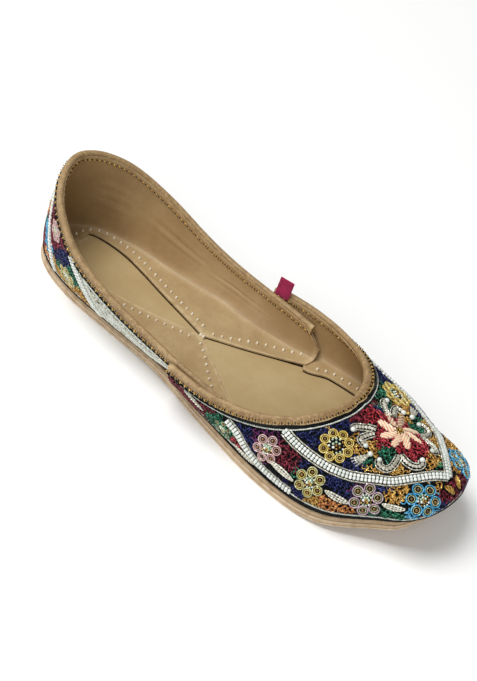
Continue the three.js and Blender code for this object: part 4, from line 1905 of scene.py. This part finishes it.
    def sew_filling(self) -> None:
        """Fills the ground with short curls of looped wire, coloured by the nearest patch."""
        rng = np.random.default_rng(self.seed)
        patches = [m for m in self.motifs if isinstance(m, Patch)]
        seeds = self.chart.at([p.along for p in patches], [p.up for p in patches])
        reach = np.array([p.reach for p in patches])
        stops = np.array([p for p, _ in self.clear])
        radii = np.array([r for _, r in self.clear])
        for site in self.chart.sites(self.spacing, 24000, self.ends, rng):
            turn, phase = rng.uniform(0, 2 * math.pi, 2)
            length, height = rng.uniform(2.6, 4.4), rng.uniform(0.8, 1.2)
            waves, lift = rng.uniform(1.2, 1.9), rng.uniform(0.25, 0.65)
            if (np.linalg.norm(stops - site, axis=1) < radii).any():
                continue
            place, out = self.chart.lay(site[None])
            ahead = unit(np.cross(out[0], (0.31, 0.52, 0.79)))
            across = np.cross(out[0], ahead)
            forward = ahead * math.cos(turn) + across * math.sin(turn)
            across = across * math.cos(turn) - ahead * math.sin(turn)
            s = np.linspace(-0.5, 0.5, 13)[:, None]
            swing = 2 * math.pi * waves * s + phase
            curl = forward * (s * length + 0.42 * np.cos(swing)) + across * height * np.sin(swing)
            line = place + curl
            gaps = np.linalg.norm(line[:, None] - stops[None], axis=2) - radii
            shut = np.flatnonzero((gaps < 0).any(axis=1))
            runs = np.split(np.arange(len(line)), shut)
            run = max(([i for i in part if i not in shut] for part in runs), key=len)
            if len(run) < 5:
                continue
            at, _ = self.chart.lay(line[run], lift)
            nearest = patches[int(np.argmin(np.linalg.norm(seeds - site, axis=1) - reach))]
            self.fill.append(Strand(at, 0.31, nearest.thread.number))

    def edging(self, start: float, end: float, high: Sequence[tuple[float, float, Thread]]) -> None:
        """Cords along the sole and below the binding.

        Args:
            start: their first t.
            end: their last t.
            high: for each cord below the binding: depth from the top edge, radius, thread.
        """
        t = np.linspace(start, end, 420)
        for rows, from_top in ((self.sole_cords, False), (high, True)):
            for level, radius, thread in rows:
                if from_top:
                    v = below_top(self.chart.surface, t, level)
                else:
                    along = np.interp(t, self.chart.t, self.chart.arc)
                    height = level + self.nose_lift * np.exp(-((along / 22) ** 2))
                    v = below_top(self.chart.surface, t, 0) * height / self.chart.height(along)
                line = inside(self.chart.surface, t, v, np.full_like(t, -0.5 * radius))
                out = unit(line - inside(self.chart.surface, t, v, np.ones_like(t)))
                if thread is Thread.BLACK:
                    self.lines.append(Strand(resampled(line, 1.2), radius, thread.number))
                else:
                    self.lines += twisted(line, out, radius, 1.8, thread.number)
                self.keep_clear(resampled(line, 1.2), radius + 0.35)


def vamp_motifs() -> list[Motif]:
    """The vamp's pattern, counted from the toe: two bead bands a side, flowers, scrolls and leaves."""
    middle: list[Motif] = [
        SatinFlower(0, 47.3, (12.4, 16.5, 13.4, 11.6, 9.8, 9.4, 9.8, 11.0)),
        *patches(Thread.CRIMSON, (0, 50, 13), (0, 62, 4), (0, 39, 3)),
        *patches(Thread.WINE, (0, 10, 7)),
        *patches(
            Thread.GREEN, (0, 22, 1.5), (-40, 50, 6), (-31, 54, 6), (-46, 46, 4), (-20, 58, 4),
        ),
        *patches(Thread.GOLD, (0, 27, 2)),
        *patches(Thread.NAVY, (-9, 58, 4)),
    ]
    sides = mirrored(
        Band((
            (0.4, 17.4), (4.5, 20.6), (10, 23.2), (18, 24.9), (28, 23.8), (38, 22.2), (48, 22.4),
            (56, 24), (64, 25.8), (72, 27.3), (79, 28.2), (87, 29.5),
        )),
        Band((
            (119.5, 16.6), (112.5, 13.8), (108, 11), (103, 8.4), (97, 6.5), (91, 5.5), (85, 5.0),
            (79, 4.7),
        )),
        RingFlower(52.5, 36.1, 8.2, 8, Thread.YELLOW, Thread.YELLOW),
        RingFlower(94.4, 17.2, 7.0, 6, Thread.PINK, Thread.PINK, 20),
        RingFlower(69.6, 14.8, 7.4, 6, Thread.OLIVE, Thread.YELLOW, 10),
        RingFlower(42.6, 11.9, 8.0, 6, Thread.MAUVE, Thread.OLIVE, 25),
        RingFlower(16.1, 13.2, 8.2, 6, Thread.TEAL, Thread.OLIVE, 5),
        RingFlower(121, 9.5, 5.8, 6, Thread.GREEN, Thread.OLIVE),
        Scroll(
            ((32.5, 49), (28, 52.8), (22.6, 55), (16.1, 55.4), (12.1, 53.3)), 0.85, pearls=(True, False)
        ),
        Scroll(
            ((15.5, 51.6), (20.4, 50.7), (26, 48), (30, 44.8), (28.6, 42)), 0.85, pearls=(False, True)
        ),
        Scroll(
            ((12.2, 37), (15.2, 35.2), (19.8, 32.4), (24.1, 31), (26.4, 32.8), (24.4, 35.8)), 0.85,
            pearls=(False, True),
        ),
        Scroll(
            ((11.4, 36.9), (11.6, 34), (11, 31), (9.3, 28.9), (6.7, 28.2), (4.6, 30)), 0.85,
            pearls=(False, True),
        ),
        Fan(28.7, 37.4, 266, 4, 9.5, 9),
        Leaf(((91, 13.4), (84.5, 12.7), (77.8, 11.6)), 1.1),
        Leaf(((61.8, 13.9), (56.7, 11.8), (51, 9.9)), 1.1),
        Leaf(((34.4, 11.2), (29.6, 10.6), (24.6, 10.4)), 1.0),
        Leaf(((4.6, 14.6), (3.0, 12.2), (2.2, 9.4)), 0.9, Thread.GOLD),
        Leaf(((113, 5.6), (106, 4.4), (100, 3.9)), 0.8),
        Leaf(((134, 12), (140, 15), (146, 17)), 0.8),
        *patches(
            Thread.NAVY, (54.4, 17.8, 6), (62, 20.5, 3), (32, 17.5, 2.5), (6.5, 6, 3),
            (109.7, 18.3, 4.5), (103, 13, 3), (74.3, 22, 3), (78, 7, 4), (68.2, 33.7, 6),
            (74, 33, 4), (34.1, 51, 3), (40, 47, 2), (45, 27, 4), (94, 3, 3),
        ),
        *patches(Thread.PURPLE, (48.3, 16.5, 2), (99.8, 21.3, 5), (94, 17, 5)),
        *patches(
            Thread.GOLD, (25.7, 18.8, 4), (6.9, 17, 2.5), (66, 5.5, 3), (19, 28, 4.5),
            (30, 29.5, 3), (5, 25.7, 3), (37.4, 37.5, 4), (25, 44, 5), (52.5, 36.1, 5),
        ),
        *patches(
            Thread.GREEN, (31.5, 5.5, 5), (75.8, 15.4, 2), (16.4, 40.5, 4.5), (33, 31, 1.5),
            (9, 25.5, 1.5), (122.9, 11.4, 7),
        ),
        *patches(Thread.TEAL, (21, 4, 2), (16.1, 13.2, 6)),
        *patches(
            Thread.WINE, (5.3, 11, 4), (81.1, 21.7, 7), (23, 59.5, 4), (130, 16, 2), (140, 10, 4),
        ),
        *patches(Thread.ORANGE, (59.5, 8, 4.5), (52.9, 5.6, 3.5)),
        *patches(Thread.CRIMSON, (84, 16.5, 1.5), (5.5, 35, 4), (112, 6, 3)),
        *patches(Thread.BLACK, (88, 9, 3)),
    )
    return middle + sides


def quarter_motifs() -> list[Motif]:
    """The quarter's pattern, counted from the back of the heel: flowers and leaves between bands."""
    middle: list[Motif] = [
        RingFlower(0, 15, 8.5, 8, Thread.YELLOW, Thread.GOLD),
        Fan(0, 27, 0, 5, 9.0, 26, Thread.ORANGE),
        *patches(Thread.ORANGE, (0, 34, 5)),
        *patches(Thread.GREEN, (0, 15, 9), (0, 44, 1)),
    ]
    sides = mirrored(
        Band(((14, 46), (19, 34), (24, 20), (29, 8), (31, 3.4))),
        Band(((47.5, 32), (53, 24), (61, 12), (66, 4.4)), 3),
        RingFlower(31, 31, 6.0, 6, Thread.PINK, Thread.PINK),
        RingFlower(43.5, 12.5, 6.6, 6, Thread.OLIVE, Thread.YELLOW),
        Leaf(((12, 22), (15, 28), (14, 34)), 0.9, Thread.ORANGE),
        Scroll(((8, 25), (10, 31), (7, 36)), 0.7),
        *patches(Thread.WINE, (31, 32, 7), (16, 8, 3)),
        *patches(Thread.NAVY, (40, 22, 4)),
        *patches(Thread.GOLD, (50, 7, 4), (38, 5, 3), (36, 40, 2)),
        *patches(Thread.GREEN, (44, 12, 5), (48, 20, 2)),
        *patches(Thread.ORANGE, (20, 5, 2)),
        *patches(Thread.TEAL, (22, 14, 1)),
    )
    return middle + sides


def sew_chevrons(work: Embroidery) -> None:
    """Nested silver cords on the quarter's waist, up beside its wide band and then along the collar.

    Args:
        work: the quarter's embroidery, which takes the cords.
    """
    foot, step = 3.8, 2.7
    for side in (-1, 1):
        for k in range(9):
            depth, ahead = 8.6 + step * k, 5.6 + step * k
            along = np.linspace(44, 136, 180)
            height = work.chart.height(side * along)
            beside = np.interp(along - ahead, (44, 53, 61, 66, 68), (37, 24, 12, 3.4, 0))
            first = np.flatnonzero((height - depth > beside) & (along > 44 + ahead))
            if len(first) == 0:
                continue
            corner = first[0]
            arm = height[corner:] - depth
            stop = np.flatnonzero(arm < foot)
            end = stop[0] if len(stop) else len(arm)
            rise = np.linspace(foot, height[corner] - depth, 14)
            back = ahead + np.interp(rise, (0, 3.4, 12, 24, 37), (68, 66, 61, 53, 44))
            lower = [(a, h) for a, h in zip(back, rise)]
            upper = [(a, h) for a, h in zip(along[corner : corner + end], arm[:end])][2::6]
            if len(upper) < 2 or rise[-1] < foot + 1:
                continue
            across, up = np.array(lower + upper).T
            line, out = work.chart.lay(resampled(work.chart.at(side * across, up), 0.8))
            sideways = np.cross(out, unit(np.gradient(line, axis=0)))
            for offset in (-0.48, 0.48):
                kind = Thread.WHITE if k % 3 != 1 else Thread.SILVER
                work.piping(line + sideways * offset, 0.45, 0.43, 1.5, kind)
            work.keep_clear(line[::2], 1.6)


def embroider() -> None:
    """Sews the vamp and the quarter."""
    back = LAST.share(LAST.vamp_back)
    chart = Field(LAST.vamp, back, 2 - back, 1.0)
    vamp = Embroidery("vamp", "embroidered_cloth", chart, vamp_motifs(), 7, nose_lift=5.2)
    vamp.edging(back, 2 - back, [(5.7, 0.85, Thread.BLACK), (7.0, 0.42, Thread.WHITE)])
    vamp.build()
    end = LAST.share(LAST.quarter_front)
    chart = Field(LAST.quarter, -end, end, 0.0)
    quarter = Embroidery(
        "quarter", "upper_leather", chart, quarter_motifs(), 11, spacing=1.5, ends=0.22
    )
    hidden = LAST.share(-6.0)
    quarter.edging(-hidden, hidden, [(5.7, 0.85, Thread.BLACK)])
    sew_chevrons(quarter)
    quarter.build()


# ---- Stage ----------------------------------------------------------------------------------------


@dataclass
class Studio:
    """The floor, the lights and the camera."""

    azimuth: float = 24.24
    elevation: float = 44.61
    roll: float = 20.09
    distance: float = 0.85
    lens: float = 93.0
    shift: tuple[float, float] = (0.0064, 0.0579)

    def build(self) -> None:
        """Sets them up."""
        scene = bpy.context.scene
        scene.view_settings.view_transform = "Standard"
        world = bpy.data.worlds.new("studio")
        world.use_nodes = True
        world.node_tree.nodes["Background"].inputs["Color"].default_value = (1.0, 1.0, 1.0, 1.0)
        world.node_tree.nodes["Background"].inputs["Strength"].default_value = 0.34
        scene.world = world
        self.floor()
        self.light("key", (-0.8, -0.45, 1.8), 1.1, 34.0)
        self.light("fill", (0.3, -1.1, 0.6), 0.8, 5.0)
        self.camera()

    @staticmethod
    def light(name: str, place: tuple[float, float, float], size: float, power: float) -> None:
        """A square soft light that faces the shoe."""
        deselect()
        bpy.ops.object.light_add(type="AREA", location=place)
        lamp = bpy.context.object
        lamp.name = name
        lamp.data.size = size
        lamp.data.energy = power
        lamp.rotation_euler = Vector(place).to_track_quat("Z", "Y").to_euler()

    @staticmethod
    def floor() -> None:
        """A plain pale floor."""
        deselect()
        bpy.ops.mesh.primitive_plane_add(size=8.0)
        floor = bpy.context.object
        floor.name = "floor"
        made, g, shader = material("floor_paint")
        coat = effect(g, Effect.MOTTLE, Patch=120.0, Amount=0.3, Colour="#fbfbfa", Other="#f7f7f6")
        g.feed(shader, {"Base Color": coat["Colour"], "Roughness": 0.9, "Specular IOR Level": 0.1})
        floor.data.materials.append(made)

    def camera(self) -> None:
        """The camera, rolled, at its angle to the shoe."""
        a, e, r = (math.radians(v) for v in (self.azimuth, self.elevation, self.roll))
        back = Vector((math.sin(a) * math.cos(e), -math.cos(a) * math.cos(e), math.sin(e)))
        right = Vector((math.cos(a), math.sin(a), 0))
        up = back.cross(right)
        across = right * math.cos(r) + up * math.sin(r)
        above = up * math.cos(r) - right * math.sin(r)
        data = bpy.data.cameras.new("camera")
        data.lens = self.lens
        data.shift_x, data.shift_y = self.shift
        camera = bpy.data.objects.new("camera", data)
        turn = Matrix((across, above, back)).transposed().to_4x4()
        camera.matrix_world = Matrix.Translation(back * self.distance) @ turn
        bpy.context.scene.collection.objects.link(camera)
        bpy.context.scene.camera = camera


def main() -> None:
    """Builds the shoe and its studio."""
    logging.basicConfig(level=logging.INFO, format="%(message)s")
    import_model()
    Studio().build()
    Sole().build()
    Inside().build()
    Upper().build()
    embroider()
    SHAPES.clear()


if __name__ == "__main__":
    main()
